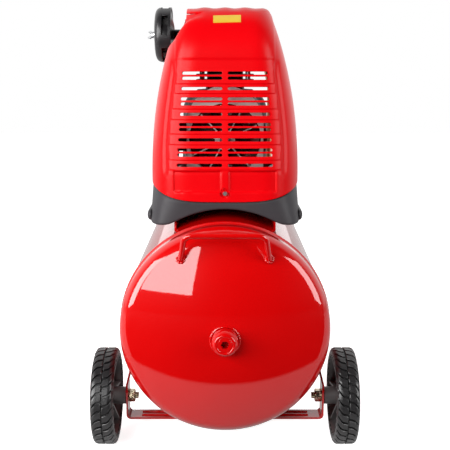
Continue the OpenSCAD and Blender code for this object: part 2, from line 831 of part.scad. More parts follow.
module filter_base() {
    color(plastic_black) along_x([-53, filter_y, filter_z], -1) difference() {
        union() {
            cylinder(r = 8.9, h = 34);
            translate([0, 0, 2.2]) cylinder(r = 14, h = 6);
            translate([0, 0, 32]) cylinder(r1 = 14, r2 = filter_r - 2, h = 6);
            translate([0, 0, 37.5]) cylinder(r = filter_r - 2.2, h = 2);
        }
        translate([0, 0, -1]) cylinder(r = 6.5, h = 60);
    }
    color(steel) along_x([-55, filter_y, filter_z], -1) {
        translate([0, 0, 34]) cylinder(r = 2.5, h = 36);
        translate([0, 0, 30]) difference() {
            cylinder(r = 6.5, h = 4);
            for (a = [0, 120, 240]) rotate([0, 0, a]) translate([4, 0, -1]) cylinder(r = 1.4, h = 8);
        }
    }
}

module filter_element() {
    color([0.75, 0.7, 0.6]) along_x([-93, filter_y, filter_z], -1) ring(36, 24, 18);
}

// Cup with air windows around its rim
module filter_cover() {
    rim_r = filter_r;
    windows = 5;
    color(plastic_black) along_x([-89, filter_y, filter_z], -1) difference() {
        rotate_extrude($fn = 72) polygon([[rim_r - 2, 0], [rim_r, 0], [rim_r, 17],
            [rim_r - 2, 22], [rim_r - 6, 25.5], [rim_r - 11, 27.5], [9, 29], [3, 29], [3, 26],
            [rim_r - 12, 25], [rim_r - 7, 22.5], [rim_r - 4, 19.5], [rim_r - 2, 16]]);
        for (i = [0 : windows - 1]) rotate([0, 0, 72 * i + 114])
            translate([rim_r - 8, -16, 3.5]) cube([12, 32, 13]);
    }
}

module wing_nut() {
    color(steel) along_x([-118.5, filter_y, filter_z], -1) difference() {
        union() {
            cylinder(r1 = 6, r2 = 4.5, h = 6);
            for (side = [-1, 1]) rotate([0, 0, 60]) translate([side * 3, -1, 2])
                rotate([0, side * 52, 0]) translate([-2.6, 0, 0]) cube([5.2, 2, 11]);
        }
        translate([0, 0, -1]) cylinder(r = 2.55, h = 20);
    }
}

// ---------- pipes and control group ----------

module discharge_pipe() {
    color(copper) bent_bar([[51.2, 10, 604], [65.5, 10, 604], [65.5, 92, 600], [84, 128, 520],
        [84, 140, 375], [14, 140, 375]], 5, 13);
}

module check_valve() {
    color(brass) translate([0, check_y, 0]) difference() {
        union() {
            translate([0, 0, port_top]) hexagon(24, 10);
            translate([0, 0, port_top + 9]) cylinder(r = 10.5, h = 24);
            translate([0, 0, port_top + 32]) hexagon(22, 8);
            translate([0, 0, port_top - 16]) cylinder(r = 7.9, h = 18);
            along_x([0, 0, 375]) cylinder(r = 7.5, h = 14);
            along_y([0, 0, 368]) cylinder(r = 4.5, h = 14);
        }
        translate([0, 0, port_top - 20]) cylinder(r = 4, h = 40);
    }
}

module unloader_tube() {
    color(plastic_black) bent_bar([[0, check_y + 14, 368], [0, check_y + 28, 368],
        [0, switch_y - 34, 380], [0, switch_y - 20, 380]], 2.5, 8);
}

module manifold() {
    color(cast_alu) difference() {
        union() {
            translate([-20, switch_y - 20, 366]) cube([40, 40, 26]);
            translate([0, switch_y, port_top - 16]) cylinder(r = 7.9, h = 31);
            translate([0, switch_y, port_top]) hexagon(24, 8);
            along_x([-20, switch_y, 379], -1) cylinder(r = 6.5, h = 10);
            along_y([0, switch_y + 20, 379]) cylinder(r = 8, h = 6);
        }
        translate([0, switch_y, port_top - 20]) cylinder(r = 5, h = 36);
    }
}

module switch_housing() {
    w = 64;
    d = 76;
    h = 60;
    knob_y = switch_y - box_y;
    color(plastic_black) translate([0, box_y, 392]) difference() {
        union() {
            translate([-w / 2 + 4, -d / 2, 0]) cube([w - 8, d, h]);
            translate([-w / 2, -d / 2 + 4, 0]) cube([w, d - 8, h]);
            for (x = [4 - w / 2, w / 2 - 4]) for (y = [4 - d / 2, d / 2 - 4])
                translate([x, y, 0]) cylinder(r = 4, h = h);
            translate([0, knob_y, h]) cylinder(r = 15, h = 3);
            along_x([w / 2, 0, 22]) cylinder(r = 9, h = 8, $fn = 6);
            along_x([w / 2 + 8, 0, 22]) cylinder(r1 = 8, r2 = 6, h = 9);
        }
        translate([-w / 2 + 3, -d / 2 + 3, 3]) cube([w - 6, d - 6, h - 6]);
        translate([0, knob_y, h - 20]) cylinder(r = 5.2, h = 40);
        along_x([w / 2 - 6, 0, 22]) cylinder(r = 4, h = 40);
    }
}

module switch_knob() {
    color(plastic_red) translate([0, switch_y, 0]) {
        translate([0, 0, 440]) cylinder(r = 5, h = 16);
        translate([0, 0, 455.4]) cylinder(r1 = 12, r2 = 10.5, h = 18);
    }
}

module safety_valve() {
    color(brass) along_x([20, switch_y, 379]) difference() {
        union() {
            hexagon(17, 12);
            cylinder(r = 7, h = 26);
        }
        translate([0, 0, 16]) cylinder(r = 2.2, h = 20);
    }
}

module safety_ring() {
    color(steel) {
        along_x([38, switch_y, 379]) cylinder(r = 1.8, h = 14);
        translate([60, switch_y, 379]) rotate([90, 0, 0])
            rotate_extrude() translate([9, 0]) circle(1.2, $fn = 16);
    }
}

module regulator_body() {
    color(cast_alu) {
        difference() {
            union() {
                translate([0, 261, 356]) cylinder(r = 20, h = 42);
                along_y([0, 276, 378]) cylinder(r = 7, h = 8);
                along_x([17, 261, 378]) cylinder(r = 9, h = 7);
            }
            translate([0, 261, 390]) cylinder(r = 5.2, h = 20);
        }
    }
}

module regulator_knob() {
    color(plastic_black) {
        translate([0, 261, 398.5]) difference() {
            cylinder(r = 17, h = 26);
            for (i = [0 : 17]) rotate([0, 0, 20 * i])
                translate([18, 0, 4]) cylinder(r = 1.8, h = 30, $fn = 16);
        }
        translate([0, 261, 391]) cylinder(r = 5, h = 8);
    }
}

module gauge_case() {
    difference() {
        cylinder(r = gauge_r, h = 18);
        translate([0, 0, 13]) cylinder(r = gauge_r - 2, h = 10);
    }
    cylinder(r = 1, h = 15.6, $fn = 16);
}

module gauge_cases() {
    color(plastic_black) {
        along_y(line_gauge) gauge_case();
        along_y(tank_gauge) gauge_case();
        along_x([tank_gauge.x + gauge_r - 2, switch_y, 379]) cylinder(r = 5, h = 6);
    }
}

module gauge_lenses() {
    color([0.9, 0.95, 1, 0.35]) for (p = [line_gauge, tank_gauge])
        along_y(p + [0, 16.2, 0]) cylinder(r = gauge_r - 2, h = 1.6);
}

module needle(p) {
    color([0.8, 0.1, 0.08]) along_y(p + [0, 13.9, 0]) difference() {
        union() {
            cylinder(r = 2.4, h = 1.2);
            rotate([0, 0, 45]) translate([-4, -0.6, 0]) cube([18, 1.2, 1.2]);
        }
        translate([0, 0, -1]) cylinder(r = 1.05, h = 4, $fn = 16);
    }
}

module tank_needle() { needle(tank_gauge); }
module line_needle() { needle(line_gauge); }

module outlet_coupler() {
    color(brass) along_x([24, 261, 378]) difference() {
        union() {
            hexagon(19, 10);
            cylinder(r = 8.5, h = 40);
        }
        translate([0, 0, 12]) cylinder(r = 5, h = 40);
    }
}

module coupler_sleeve() {
    color(steel) along_x([38, 261, 378]) difference() {
        cylinder(r = 12, h = 20);
        translate([0, 0, -1]) cylinder(r = 8.56, h = 30);
        for (z = [4, 8, 12, 16]) translate([0, 0, z]) difference() {
            cylinder(r = 13, h = 1.4);
            translate([0, 0, -1]) cylinder(r = 11.2, h = 4);
        }
    }
}

module drain_valve() {
    color(brass) difference() {
        translate([0, 0, 22]) union() {
            cylinder(r = 4.9, h = 26);
            hexagon(17, 10);
        }
        translate([0, 0, 10]) cylinder(r = 2.2, h = 20);
    }
}

module drain_knob() {
    color(steel) {
        translate([0, 0, 14]) cylinder(r = 8, h = 7.5, $fn = 12);
        translate([0, 0, 20]) cylinder(r = 2, h = 9);
    }
}

// ---------- assembly ----------

tank_shell();
rear_tank_head();
front_tank_head();
tank_sockets();
rear_bail();
wheel_bracket();
axle_bolts();
foot_bracket();
rubber_feet();
fasteners();
motor_deck();
base_tray();
hood_rear();
hood_front();
push_handle();
handle_grip();
motor_electrics();
motor_lead();
stator();
end_shield();
shaft_bearings();
crankcase();
crankcase_cover();
sight_glass();
oil_filler();
cylinder_barrel();  // cylinder
valve_plate();
cylinder_head();
filter_base();
filter_element();
filter_cover();
wing_nut();
discharge_pipe();
check_valve();
unloader_tube();
manifold();
switch_housing();
switch_knob();
safety_valve();
safety_ring();
regulator_body();
regulator_knob();
gauge_cases();
gauge_lenses();
tank_needle();
line_needle();
outlet_coupler();
coupler_sleeve();
drain_valve();
drain_knob();
left_tyre();
left_rim();
right_tyre();
right_rim();
crankshaft();
rotor();
fan();
piston();
wrist_pin();
connecting_rod();
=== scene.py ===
"""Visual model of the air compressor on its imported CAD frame. Lengths are in mm until mesh_piece()."""

import json
import math

import bmesh
import bpy
import numpy as np
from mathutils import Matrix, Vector
from mathutils.geometry import delaunay_2d_cdt


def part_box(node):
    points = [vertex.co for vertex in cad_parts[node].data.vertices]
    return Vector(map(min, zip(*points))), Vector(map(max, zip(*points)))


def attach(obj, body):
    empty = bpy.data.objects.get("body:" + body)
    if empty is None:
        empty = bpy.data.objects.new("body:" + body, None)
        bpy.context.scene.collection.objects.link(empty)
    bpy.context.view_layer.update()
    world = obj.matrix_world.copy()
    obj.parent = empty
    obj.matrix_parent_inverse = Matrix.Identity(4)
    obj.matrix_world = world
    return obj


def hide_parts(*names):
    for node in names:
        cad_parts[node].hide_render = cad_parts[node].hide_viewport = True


MM = 0.001
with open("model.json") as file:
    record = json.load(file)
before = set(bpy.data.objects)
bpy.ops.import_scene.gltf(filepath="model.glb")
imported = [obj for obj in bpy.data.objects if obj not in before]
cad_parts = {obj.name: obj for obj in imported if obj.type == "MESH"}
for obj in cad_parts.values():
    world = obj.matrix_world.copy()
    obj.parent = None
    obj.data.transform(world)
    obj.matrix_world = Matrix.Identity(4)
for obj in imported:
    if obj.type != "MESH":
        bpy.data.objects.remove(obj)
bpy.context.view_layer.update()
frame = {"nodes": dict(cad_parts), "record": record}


def box_mm(node):
    """Lowest and highest corner of a CAD node, in mm."""
    low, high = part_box(node)
    return np.array(low) / MM, np.array(high) / MM


# ---------- driving dimensions, from the frame ----------

head_low, head_high = box_mm("rear_tank_head")
TANK_R = round((head_high[0] - head_low[0]) / 2)
TANK_Z = (head_high[2] + head_low[2]) / 2
FLANGE = 25
TANGENT_Y = head_high[1] - FLANGE
CROWN_R, KNUCKLE_R = 340, 26
DOME_H = CROWN_R - math.sqrt((CROWN_R - KNUCKLE_R) ** 2 - (TANK_R - KNUCKLE_R) ** 2)
SOCKET_R, SOCKET_LEN = 18.5, 27
SOCKET_END = -box_mm("tank_sockets")[0][1]
PORT_Y = (140, 215)

tyre_low, tyre_high = box_mm("right_tyre")
WHEEL_R = (tyre_high[2] - tyre_low[2]) / 2
AXLE_Y = (tyre_high[1] + tyre_low[1]) / 2
TYRE_IN, TYRE_OUT = tyre_low[0], tyre_high[0]
BRACKET_X = box_mm("wheel_bracket")[1][0]
TRAY_FRONT = box_mm("base_tray")[1][1]

hood_low, hood_high = box_mm("hood_rear")
HOOD_W = 114.0
HOOD_Y0 = hood_low[1]
HOOD_TOP = hood_high[2]
HOOD_SPLIT = hood_high[1] + 0.3
HOOD_Y1 = box_mm("hood_front")[1][1]
FLANK_Y = HOOD_Y0 + 150
SHOULDER = 9.0
BODY_TOP = HOOD_TOP - SHOULDER
WALL = 2.6
NOSE_BACK = 74.0

filter_low, filter_high = box_mm("filter_cover")
FILTER_Y = (filter_low[1] + filter_high[1]) / 2
FILTER_Z = (filter_low[2] + filter_high[2]) / 2
FILTER_R = (filter_high[2] - filter_low[2]) / 2
FILTER_IN, FILTER_OUT = filter_high[0], filter_low[0]

ARCH_R = 147.0


# ---------- materials ----------


def math_node(tree, operation, a, b):
    """A Math node; a and b are sockets or numbers."""
    node = tree.nodes.new("ShaderNodeMath")
    node.operation = operation
    link_or_set(tree, node.inputs[0], a)
    link_or_set(tree, node.inputs[1], b)
    return node.outputs[0]


def object_place(tree):
    """Position in the piece's own coordinates."""
    return tree.nodes.new("ShaderNodeTexCoord").outputs["Object"]


def axis_value(tree, place, axis):
    """One coordinate of a position."""
    split = tree.nodes.new("ShaderNodeSeparateXYZ")
    tree.links.new(place, split.inputs[0])
    return split.outputs[axis]


def map_value(tree, value, source, target):
    """Smoothly maps a range of values to another."""
    node = tree.nodes.new("ShaderNodeMapRange")
    node.interpolation_type = "SMOOTHSTEP"
    tree.links.new(value, node.inputs["Value"])
    node.inputs["From Min"].default_value, node.inputs["From Max"].default_value = source
    node.inputs["To Min"].default_value, node.inputs["To Max"].default_value = target
    return node.outputs["Result"]


def link_or_set(tree, socket, value):
    """Links a socket's output, or writes a plain value into the socket."""
    if isinstance(value, bpy.types.NodeSocket):
        tree.links.new(value, socket)
    else:
        socket.default_value = value


def blend(tree, fraction, first, second):
    """Mixes two values."""
    node = tree.nodes.new("ShaderNodeMix")
    tree.links.new(fraction, node.inputs[0])
    link_or_set(tree, node.inputs[2], first)
    link_or_set(tree, node.inputs[3], second)
    return node.outputs[0]


def noise(tree, scale, detail=4.0, stretch=(1, 1, 1), kind="ShaderNodeTexNoise"):
    """A noise texture in the piece's own coordinates."""
    mapping = tree.nodes.new("ShaderNodeMapping")
    mapping.inputs["Scale"].default_value = stretch
    texture = tree.nodes.new(kind)
    texture.inputs["Scale"].default_value = scale
    if "Detail" in texture.inputs:
        texture.inputs["Detail"].default_value = detail
    tree.links.new(object_place(tree), mapping.inputs["Vector"])
    tree.links.new(mapping.outputs["Vector"], texture.inputs["Vector"])
    return texture.outputs["Fac" if "Fac" in texture.outputs else "Distance"]


def ramp(tree, value, low, high):
    """Maps 0..1 to low..high."""
    node = tree.nodes.new("ShaderNodeMapRange")
    node.inputs["To Min"].default_value = low
    node.inputs["To Max"].default_value = high
    tree.links.new(value, node.inputs["Value"])
    return node.outputs["Result"]


def mix_colour(tree, fraction, first, second):
    """Mixes two colours; each is a socket or three numbers."""
    node = tree.nodes.new("ShaderNodeMix")
    node.data_type = "RGBA"
    tree.links.new(fraction, node.inputs[0])
    for socket, value in ((node.inputs[6], first), (node.inputs[7], second)):
        link_or_set(tree, socket, (*value, 1) if isinstance(value, tuple) else value)
    return node.outputs[2]


def wear_and_highlight_edges(tree, radius=0.6):
    """0 on flat areas to 1 on sharp edges, for edge wear and painted edge highlights."""
    bevel = tree.nodes.new("ShaderNodeBevel")
    bevel.samples = 4
    bevel.inputs["Radius"].default_value = radius * MM
    geometry = tree.nodes.new("ShaderNodeNewGeometry")
    dot = tree.nodes.new("ShaderNodeVectorMath")
    dot.operation = "DOT_PRODUCT"
    tree.links.new(bevel.outputs[0], dot.inputs[0])
    tree.links.new(geometry.outputs["Normal"], dot.inputs[1])
    return math_node(tree, "MULTIPLY", math_node(tree, "SUBTRACT", 1.0, dot.outputs["Value"]), 6.0)


def material(
    name, dark, light, rough=(0.3, 0.4), metallic=0.0, coat=0.0, mottle=30, stretch=(1, 1, 1),
    grain=0.0, grain_scale=900, grain_depth=0.0002, peel=0.0, worn=None, specular=0.5,
    kind="ShaderNodeTexNoise",
):
    """Procedural finish: mottled colour and roughness, fine grain, orange peel and lighter edges (wear,
    and on the tyre a painted highlight).
    """
    made = bpy.data.materials.new(name)
    made.use_nodes = True
    tree = made.node_tree
    shader = tree.nodes["Principled BSDF"]
    cloud = noise(tree, mottle, stretch=stretch)
    colour = mix_colour(tree, cloud, dark, light)
    if worn is not None:
        # Lighter sharp edges: wear, and on the tyre a painted highlight.
        colour = mix_colour(tree, math_node(tree, "MINIMUM", wear_and_highlight_edges(tree), 0.5), colour, worn)
    tree.links.new(colour, shader.inputs["Base Color"])
    tree.links.new(ramp(tree, noise(tree, mottle * 3.1), *rough), shader.inputs["Roughness"])
    shader.inputs["Metallic"].default_value = metallic
    shader.inputs["Specular IOR Level"].default_value = specular
    shader.inputs["Coat Weight"].default_value = coat
    shader.inputs["Coat Roughness"].default_value = 0.04
    height = None
    if grain:
        height = math_node(tree, "MULTIPLY", noise(tree, grain_scale, 2.0, stretch, kind), grain)
    if peel:
        wave = math_node(tree, "MULTIPLY", noise(tree, 110, 1.0), peel)
        height = wave if height is None else math_node(tree, "ADD", height, wave)
    if height is not None:
        bump = tree.nodes.new("ShaderNodeBump")
        bump.inputs["Distance"].default_value = grain_depth
        tree.links.new(height, bump.inputs["Height"])
        tree.links.new(bump.outputs["Normal"], shader.inputs["Normal"])
        if coat:
            tree.links.new(bump.outputs["Normal"], shader.inputs["Coat Normal"])
    return made


def metal(name, dark, light, rough, metallic=1.0, **more):
    """A metal finish."""
    return material(name, dark, light, rough, metallic, **more)


def glass(name, tint, rough, clearness):
    """Clear plastic, tinted."""
    made = material(name, tint, tuple(min(1, c * 1.1) for c in tint), rough, mottle=60)
    shader = made.node_tree.nodes["Principled BSDF"]
    shader.inputs["Transmission Weight"].default_value = clearness
    shader.inputs["IOR"].default_value = 1.45
    return made


VORONOI = "ShaderNodeTexVoronoi"
MATERIALS = {
    "red_paint": material(
        "red_gloss_paint", (0.40, 0.0004, 0.0006), (0.45, 0.0007, 0.0009),
        coat=1.0, mottle=12, peel=0.10, specular=0.03,
    ),
    "red_plastic": material(
        "red_hood_plastic", (0.48, 0.0001, 0.0016), (0.54, 0.0003, 0.0024), (0.27, 0.34),
        mottle=18, grain=0.2, grain_scale=1400, specular=0.1,
    ),
    "red_trim": material(
        "red_trim_plastic", (0.66, 0.002, 0.004), (0.76, 0.004, 0.006), (0.25, 0.35),
        mottle=60, grain=0.15,
    ),
    "grey_plastic": material(
        "dark_grey_plastic", (0.026, 0.024, 0.027), (0.036, 0.033, 0.036), (0.42, 0.52),
        mottle=40, grain=0.5, grain_scale=1500, specular=0.16, worn=(0.06, 0.057, 0.06),
    ),
    "black_plastic": material(
        "black_plastic", (0.009, 0.008, 0.009), (0.016, 0.015, 0.016), (0.28, 0.38),
        mottle=60, grain=0.5, grain_scale=1500, specular=0.4, worn=(0.05, 0.05, 0.05),
    ),
    "black_tube": material(
        "black_tube_plastic", (0.014, 0.014, 0.015), (0.024, 0.024, 0.025), (0.3, 0.42),
        mottle=80, grain=0.3,
    ),
    "handle_paint": material(
        "black_powder_coat", (0.016, 0.016, 0.017), (0.026, 0.026, 0.027), (0.32, 0.42),
        mottle=70, grain=1.0, grain_scale=1100, kind=VORONOI,
    ),
    # The tyre's lighter block edges are a painted highlight.
    "tyre_rubber": material(
        "tyre_rubber", (0.006, 0.0055, 0.006), (0.014, 0.013, 0.0135), (0.26, 0.4),
        mottle=90, grain=0.9, grain_scale=1100, worn=(0.07, 0.068, 0.068),
    ),
    "rubber": material(
        "black_rubber", (0.02, 0.02, 0.021), (0.034, 0.033, 0.033), (0.55, 0.72),
        mottle=90, grain=0.8, grain_scale=1000,
    ),
    "zinc_steel": metal(
        "zinc_plated_steel", (0.55, 0.56, 0.58), (0.72, 0.72, 0.72), (0.24, 0.38),
        mottle=120, grain=0.4, grain_scale=600,
    ),
    "yellow_zinc": metal(
        "yellow_zinc_steel", (0.44, 0.36, 0.22), (0.60, 0.54, 0.42), (0.2, 0.34),
        mottle=90, grain=0.3, grain_scale=700,
    ),
    "turned_steel": metal(
        "turned_steel", (0.46, 0.46, 0.48), (0.60, 0.60, 0.61), (0.18, 0.3),
        mottle=60, stretch=(1, 14, 1), grain=0.6, grain_scale=500,
    ),
    "laminated_steel": metal(
        "varnished_laminations", (0.22, 0.21, 0.21), (0.34, 0.33, 0.33), (0.35, 0.5), 0.9,
        mottle=40, stretch=(1, 30, 1), grain=1.0, grain_scale=200,
    ),
    "cast_aluminium": metal(
        "cast_aluminium", (0.56, 0.57, 0.58), (0.70, 0.70, 0.70), (0.36, 0.52), 0.9,
        mottle=70, grain=0.9, grain_scale=750, worn=(0.8, 0.8, 0.8),
    ),
    "cast_iron": metal(
        "black_cast_iron", (0.03, 0.03, 0.032), (0.055, 0.055, 0.058), (0.45, 0.62), 0.3,
        mottle=80, grain=1.0, grain_scale=500, worn=(0.12, 0.12, 0.12),
    ),
    "brass": metal(
        "machined_brass", (0.62, 0.42, 0.15), (0.74, 0.54, 0.24), (0.2, 0.34), mottle=90, grain=0.3,
    ),
    "copper": metal(
        "drawn_copper", (0.62, 0.27, 0.14), (0.76, 0.38, 0.22), (0.22, 0.36), mottle=50, grain=0.2,
    ),
    "oil_window": glass("oil_window", (0.75, 0.5, 0.15), (0.04, 0.1), 0.6),
    "clear_lens": glass("clear_lens", (0.95, 0.97, 0.98), (0.02, 0.06), 0.95),
    "filter_foam": material(
        "filter_foam", (0.022, 0.021, 0.021), (0.045, 0.043, 0.043), (0.85, 0.95),
        mottle=260, grain=1.0, grain_scale=420, grain_depth=0.001, kind=VORONOI,
    ),
}
LABEL = material("yellow_label", (0.46, 0.30, 0.02), (0.54, 0.36, 0.03), mottle=60, grain=0.1)
RIM_FINISH = material(
    "grey_rim_plastic", (0.05, 0.045, 0.045), (0.075, 0.066, 0.066), (0.3, 0.42),
    mottle=60, grain=0.4, grain_scale=1300,
)
# Bare metal colour, and the dark colour used as painted shade on the unlit parts behind it.
BARE_METAL, PAINTED_SHADE_DARK = (0.75, 0.72, 0.70), (0.012, 0.011, 0.011)


def metal_with_painted_shade_behind(name, limit):
    """Metal that is bare up to y = limit, with painted shade behind it: the part behind is dark as if
    unlit.
    """
    behind = tuple(1.5 * c for c in PAINTED_SHADE_DARK)
    made = material(name, PAINTED_SHADE_DARK, behind, (0.3, 0.45), 0.6, mottle=80, grain=0.3)
    tree = made.node_tree
    colour = tree.nodes["Principled BSDF"].inputs["Base Color"]
    along = axis_value(tree, object_place(tree), 1)
    # Painted shade: behind y = limit the metal is dark as if unlit, and only the front shows its own
    # colour.
    front = map_value(tree, along, (limit * MM - 0.0006, limit * MM + 0.0006), (1.0, 0.0))
    tree.links.new(mix_colour(tree, front, colour.links[0].from_socket, BARE_METAL), colour)
    return made


def dress_cad_nodes():
    """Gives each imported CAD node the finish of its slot."""
    for row in frame["record"]["subparts"]:
        node = frame["nodes"][row["node"]]
        node.data.materials.clear()
        node.data.materials.append(MATERIALS[row["material_slot"]])
    # End shield and fan: metal with painted shade behind y = limit, where they sit unlit inside the
    # hood.
    for name, limit in (("end_shield", -192.0), ("fan", -217.0)):
        frame["nodes"][name].data.materials[0] = metal_with_painted_shade_behind(name + "_casting_painted_shade", limit)


# ---------- mesh tools ----------


def mesh_piece(name, points, faces, slot, body="machine", replaces=(), smooth=35, finish=None):
    """Makes an object from points in mm and faces; finish is a material outside the slots."""
    data = bpy.data.meshes.new(name)
    data.from_pydata([tuple(float(c) * MM for c in p) for p in points], [], [tuple(f) for f in faces])
    piece = bpy.data.objects.new(name, data)
    bpy.context.scene.collection.objects.link(piece)
    data.materials.append(finish or MATERIALS[slot])
    tidy(piece)
    settle(piece, smooth)
    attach(piece, body)
    if replaces:
        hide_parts(*replaces)
    return piece


def tidy(piece, merge=0.005):
    """Joins points that coincide and makes the normals agree."""
    work = bmesh.new()
    work.from_mesh(piece.data)
    bmesh.ops.remove_doubles(work, verts=work.verts, dist=merge * MM)
    bmesh.ops.dissolve_degenerate(work, edges=work.edges, dist=merge * MM)
    bmesh.ops.recalc_face_normals(work, faces=work.faces)
    work.to_mesh(piece.data)
    work.free()


def settle(piece, angle=35):
    """Smooth shading, with edges sharper than angle left sharp."""
    work = bmesh.new()
    work.from_mesh(piece.data)
    for face in work.faces:
        face.smooth = True
    limit = math.radians(angle)
    for edge in work.edges:
        edge.smooth = not edge.is_manifold or edge.calc_face_angle(0) < limit
    work.to_mesh(piece.data)
    work.free()


def bake(piece, smooth=35):
    """Applies the piece's modifiers."""
    graph = bpy.context.evaluated_depsgraph_get()
    graph.update()
    made = bpy.data.meshes.new_from_object(piece.evaluated_get(graph))
    piece.modifiers.clear()
    piece.data = made
    settle(piece, smooth)


def thicken(piece, thickness, offset=-1.0, smooth=35):
    """Gives a skin its wall thickness."""
    solid = piece.modifiers.new("wall", "SOLIDIFY")
    solid.thickness = thickness * MM
    solid.offset = offset
    solid.use_even_offset = True
    bake(piece, smooth)


def round_edges(piece, width, angle=40, smooth=35):
    """Rounds every edge sharper than angle."""
    bevel = piece.modifiers.new("edges", "BEVEL")
    bevel.width = width * MM
    bevel.segments = 2
    bevel.limit_method = "ANGLE"
    bevel.angle_limit = math.radians(angle)
    bevel.use_clamp_overlap = True
    bake(piece, smooth)


def cut(piece, tool, solver="EXACT"):
    """Cuts a tool's shape out of a piece and drops the tool."""
    boolean = piece.modifiers.new("cut", "BOOLEAN")
    boolean.operation = "DIFFERENCE"
    boolean.solver = solver
    boolean.object = tool
    bake(piece)
    bpy.data.objects.remove(tool)


def grid_faces(rows, columns, closed=False):
    """Quads of a rows x columns grid of points, closed along its columns if asked."""
    faces = []
    for i in range(0, (rows - 1) * columns, columns):
        for j in range(columns if closed else columns - 1):
            after = (j + 1) % columns
            faces.append((i + j, i + after, i + columns + after, i + columns + j))
    return faces


def turned(profile, segments):
    """Points of a profile [(radius, height)] turned round +Z, one ring after another."""
    turns = [2 * math.pi * k / segments for k in range(segments)]
    return [(r * math.cos(a), r * math.sin(a), h) for r, h in profile for a in turns]


def lathe(profile, segments=96):
    """Points and faces of a profile turned round +Z."""
    return turned(profile, segments), grid_faces(len(profile), segments, closed=True)


def along_x(points):
    """Points turned from +Z to +X."""
    return [(z, x, y) for x, y, z in points]


def placed(points, origin, towards):
    """Points turned from +Z to a direction and moved to origin."""
    turn = Vector(towards).to_track_quat("Z", "Y").to_matrix()
    return [tuple(turn @ Vector(p) + Vector(origin)) for p in points]


def wall_faces(n, first=0, second=None):
    """Quads between two closed rings of n points."""
    second = n if second is None else second
    return [(first + i, first + (i + 1) % n, second + (i + 1) % n, second + i) for i in range(n)]


def capped(n):
    """Faces of a solid between two rings of n points."""
    return [tuple(reversed(range(n))), tuple(range(n, 2 * n))] + wall_faces(n)


def prism(outline, low, high):
    """Closed prism over an outline of (x, y) points."""
    points = [(x, y, low) for x, y in outline] + [(x, y, high) for x, y in outline]
    return points, capped(len(outline))


def joined(*shapes):
    """Puts several (points, faces) shapes in one list."""
    points, faces = [], []
    for shape_points, shape_faces in shapes:
        start = len(points)
        points += list(shape_points)
        faces += [tuple(i + start for i in f) for f in shape_faces]
    return points, faces


def arc(centre, radius, start, end, steps):
    """Points of an arc, angles in degrees."""
    angles = [math.radians(start + (end - start) * i / steps) for i in range(steps + 1)]
    return [(centre[0] + radius * math.cos(a), centre[1] + radius * math.sin(a)) for a in angles]


def smoothstep(low, high, value):
    t = np.clip((value - low) / (high - low), 0, 1)
    return t * t * (3 - 2 * t)


def rounded_path(points, bend, steps=10):
    """A path whose inner corners are arcs of radius bend."""
    points = [Vector(p) for p in points]
    path = [points[0]]
    for before, corner, after in zip(points, points[1:], points[2:]):
        back, ahead = (before - corner).normalized(), (after - corner).normalized()
        turn = math.pi - back.angle(ahead)
        centre = corner + (back + ahead).normalized() * bend / math.cos(turn / 2)
        start = (corner + back * bend * math.tan(turn / 2) - centre).normalized()
        for i in range(steps + 1):
            a = turn * i / steps
            path.append(centre + bend * (start * math.cos(a) - back * math.sin(a)))
    return path + [points[-1]]


def swept(path, radius, sides=24):
    """Round bar along a path, closed at both ends."""
    ways = [
        (path[min(i + 1, len(path) - 1)] - path[max(i - 1, 0)]).normalized() for i in range(len(path))
    ]
    side = ways[0].orthogonal().normalized()
    points = []
    for place, way in zip(path, ways):
        side = (side - way * side.dot(way)).normalized()
        up = way.cross(side)
        for k in range(sides):
            a = 2 * math.pi * k / sides
            points.append(tuple(place + radius * (side * math.cos(a) + up * math.sin(a))))
    faces = grid_faces(len(path), sides, closed=True)
    faces += [tuple(range(sides)), tuple(reversed(range(len(points) - sides, len(points))))]
    return points, faces


# ---------- tank ----------


def head_profile():
    """[(radius, distance past the tangent line)] from the flange to the crown's middle."""
    span = math.asin((TANK_R - KNUCKLE_R) / (CROWN_R - KNUCKLE_R))
    knuckle = [
        (TANK_R - KNUCKLE_R + KNUCKLE_R * math.cos(a), KNUCKLE_R * math.sin(a))
        for a in np.linspace(0, math.pi / 2 - span, 16)
    ]
    crown = [
        (CROWN_R * math.sin(a), CROWN_R * math.cos(a) - (CROWN_R - DOME_H))
        for a in np.linspace(span, 0.0005, 40)
    ]
    return knuckle + crown[1:]


def make_tank():
    """Shell and heads as one painted skin with a rippled weld bead at each seam."""
    seam = -TANGENT_Y - FLANGE
    bead_w, bead_h = 9.0, 2.2
    head = head_profile()
    across = np.linspace(-1, 1, 13)
    bead = [(TANK_R + bead_h * math.cos(t * math.pi / 2) ** 0.8, t * bead_w / 2) for t in across]
    rear = [(r, TANGENT_Y - h) for r, h in reversed(head)] + [(TANK_R, TANGENT_Y + 8)]
    rear += [(r, -seam + y) for r, y in bead]
    shell = [(TANK_R, y) for y in np.linspace(-seam + 12, seam - 12, 24)]
    front = [(r, seam + y) for r, y in bead] + [(TANK_R, -TANGENT_Y - 8)]
    front += [(r, -TANGENT_Y + h) for r, h in head]
    profile = rear + shell + front
    segments = 360
    points = []
    for r, y in profile:
        for k in range(segments):
            a = 2 * math.pi * k / segments
            ripple = 0.25 * math.sin(a * 150 + 1.5 * abs(abs(y) - seam)) if r > TANK_R + 0.4 else 0.0
            points.append(((r + ripple) * math.sin(a), y, TANK_Z + (r + ripple) * math.cos(a)))
    mesh_piece(
        "tank_skin", points, grid_faces(len(profile), segments, closed=True), "red_paint", smooth=60,
        replaces=("tank_shell", "rear_tank_head", "front_tank_head"),
    )


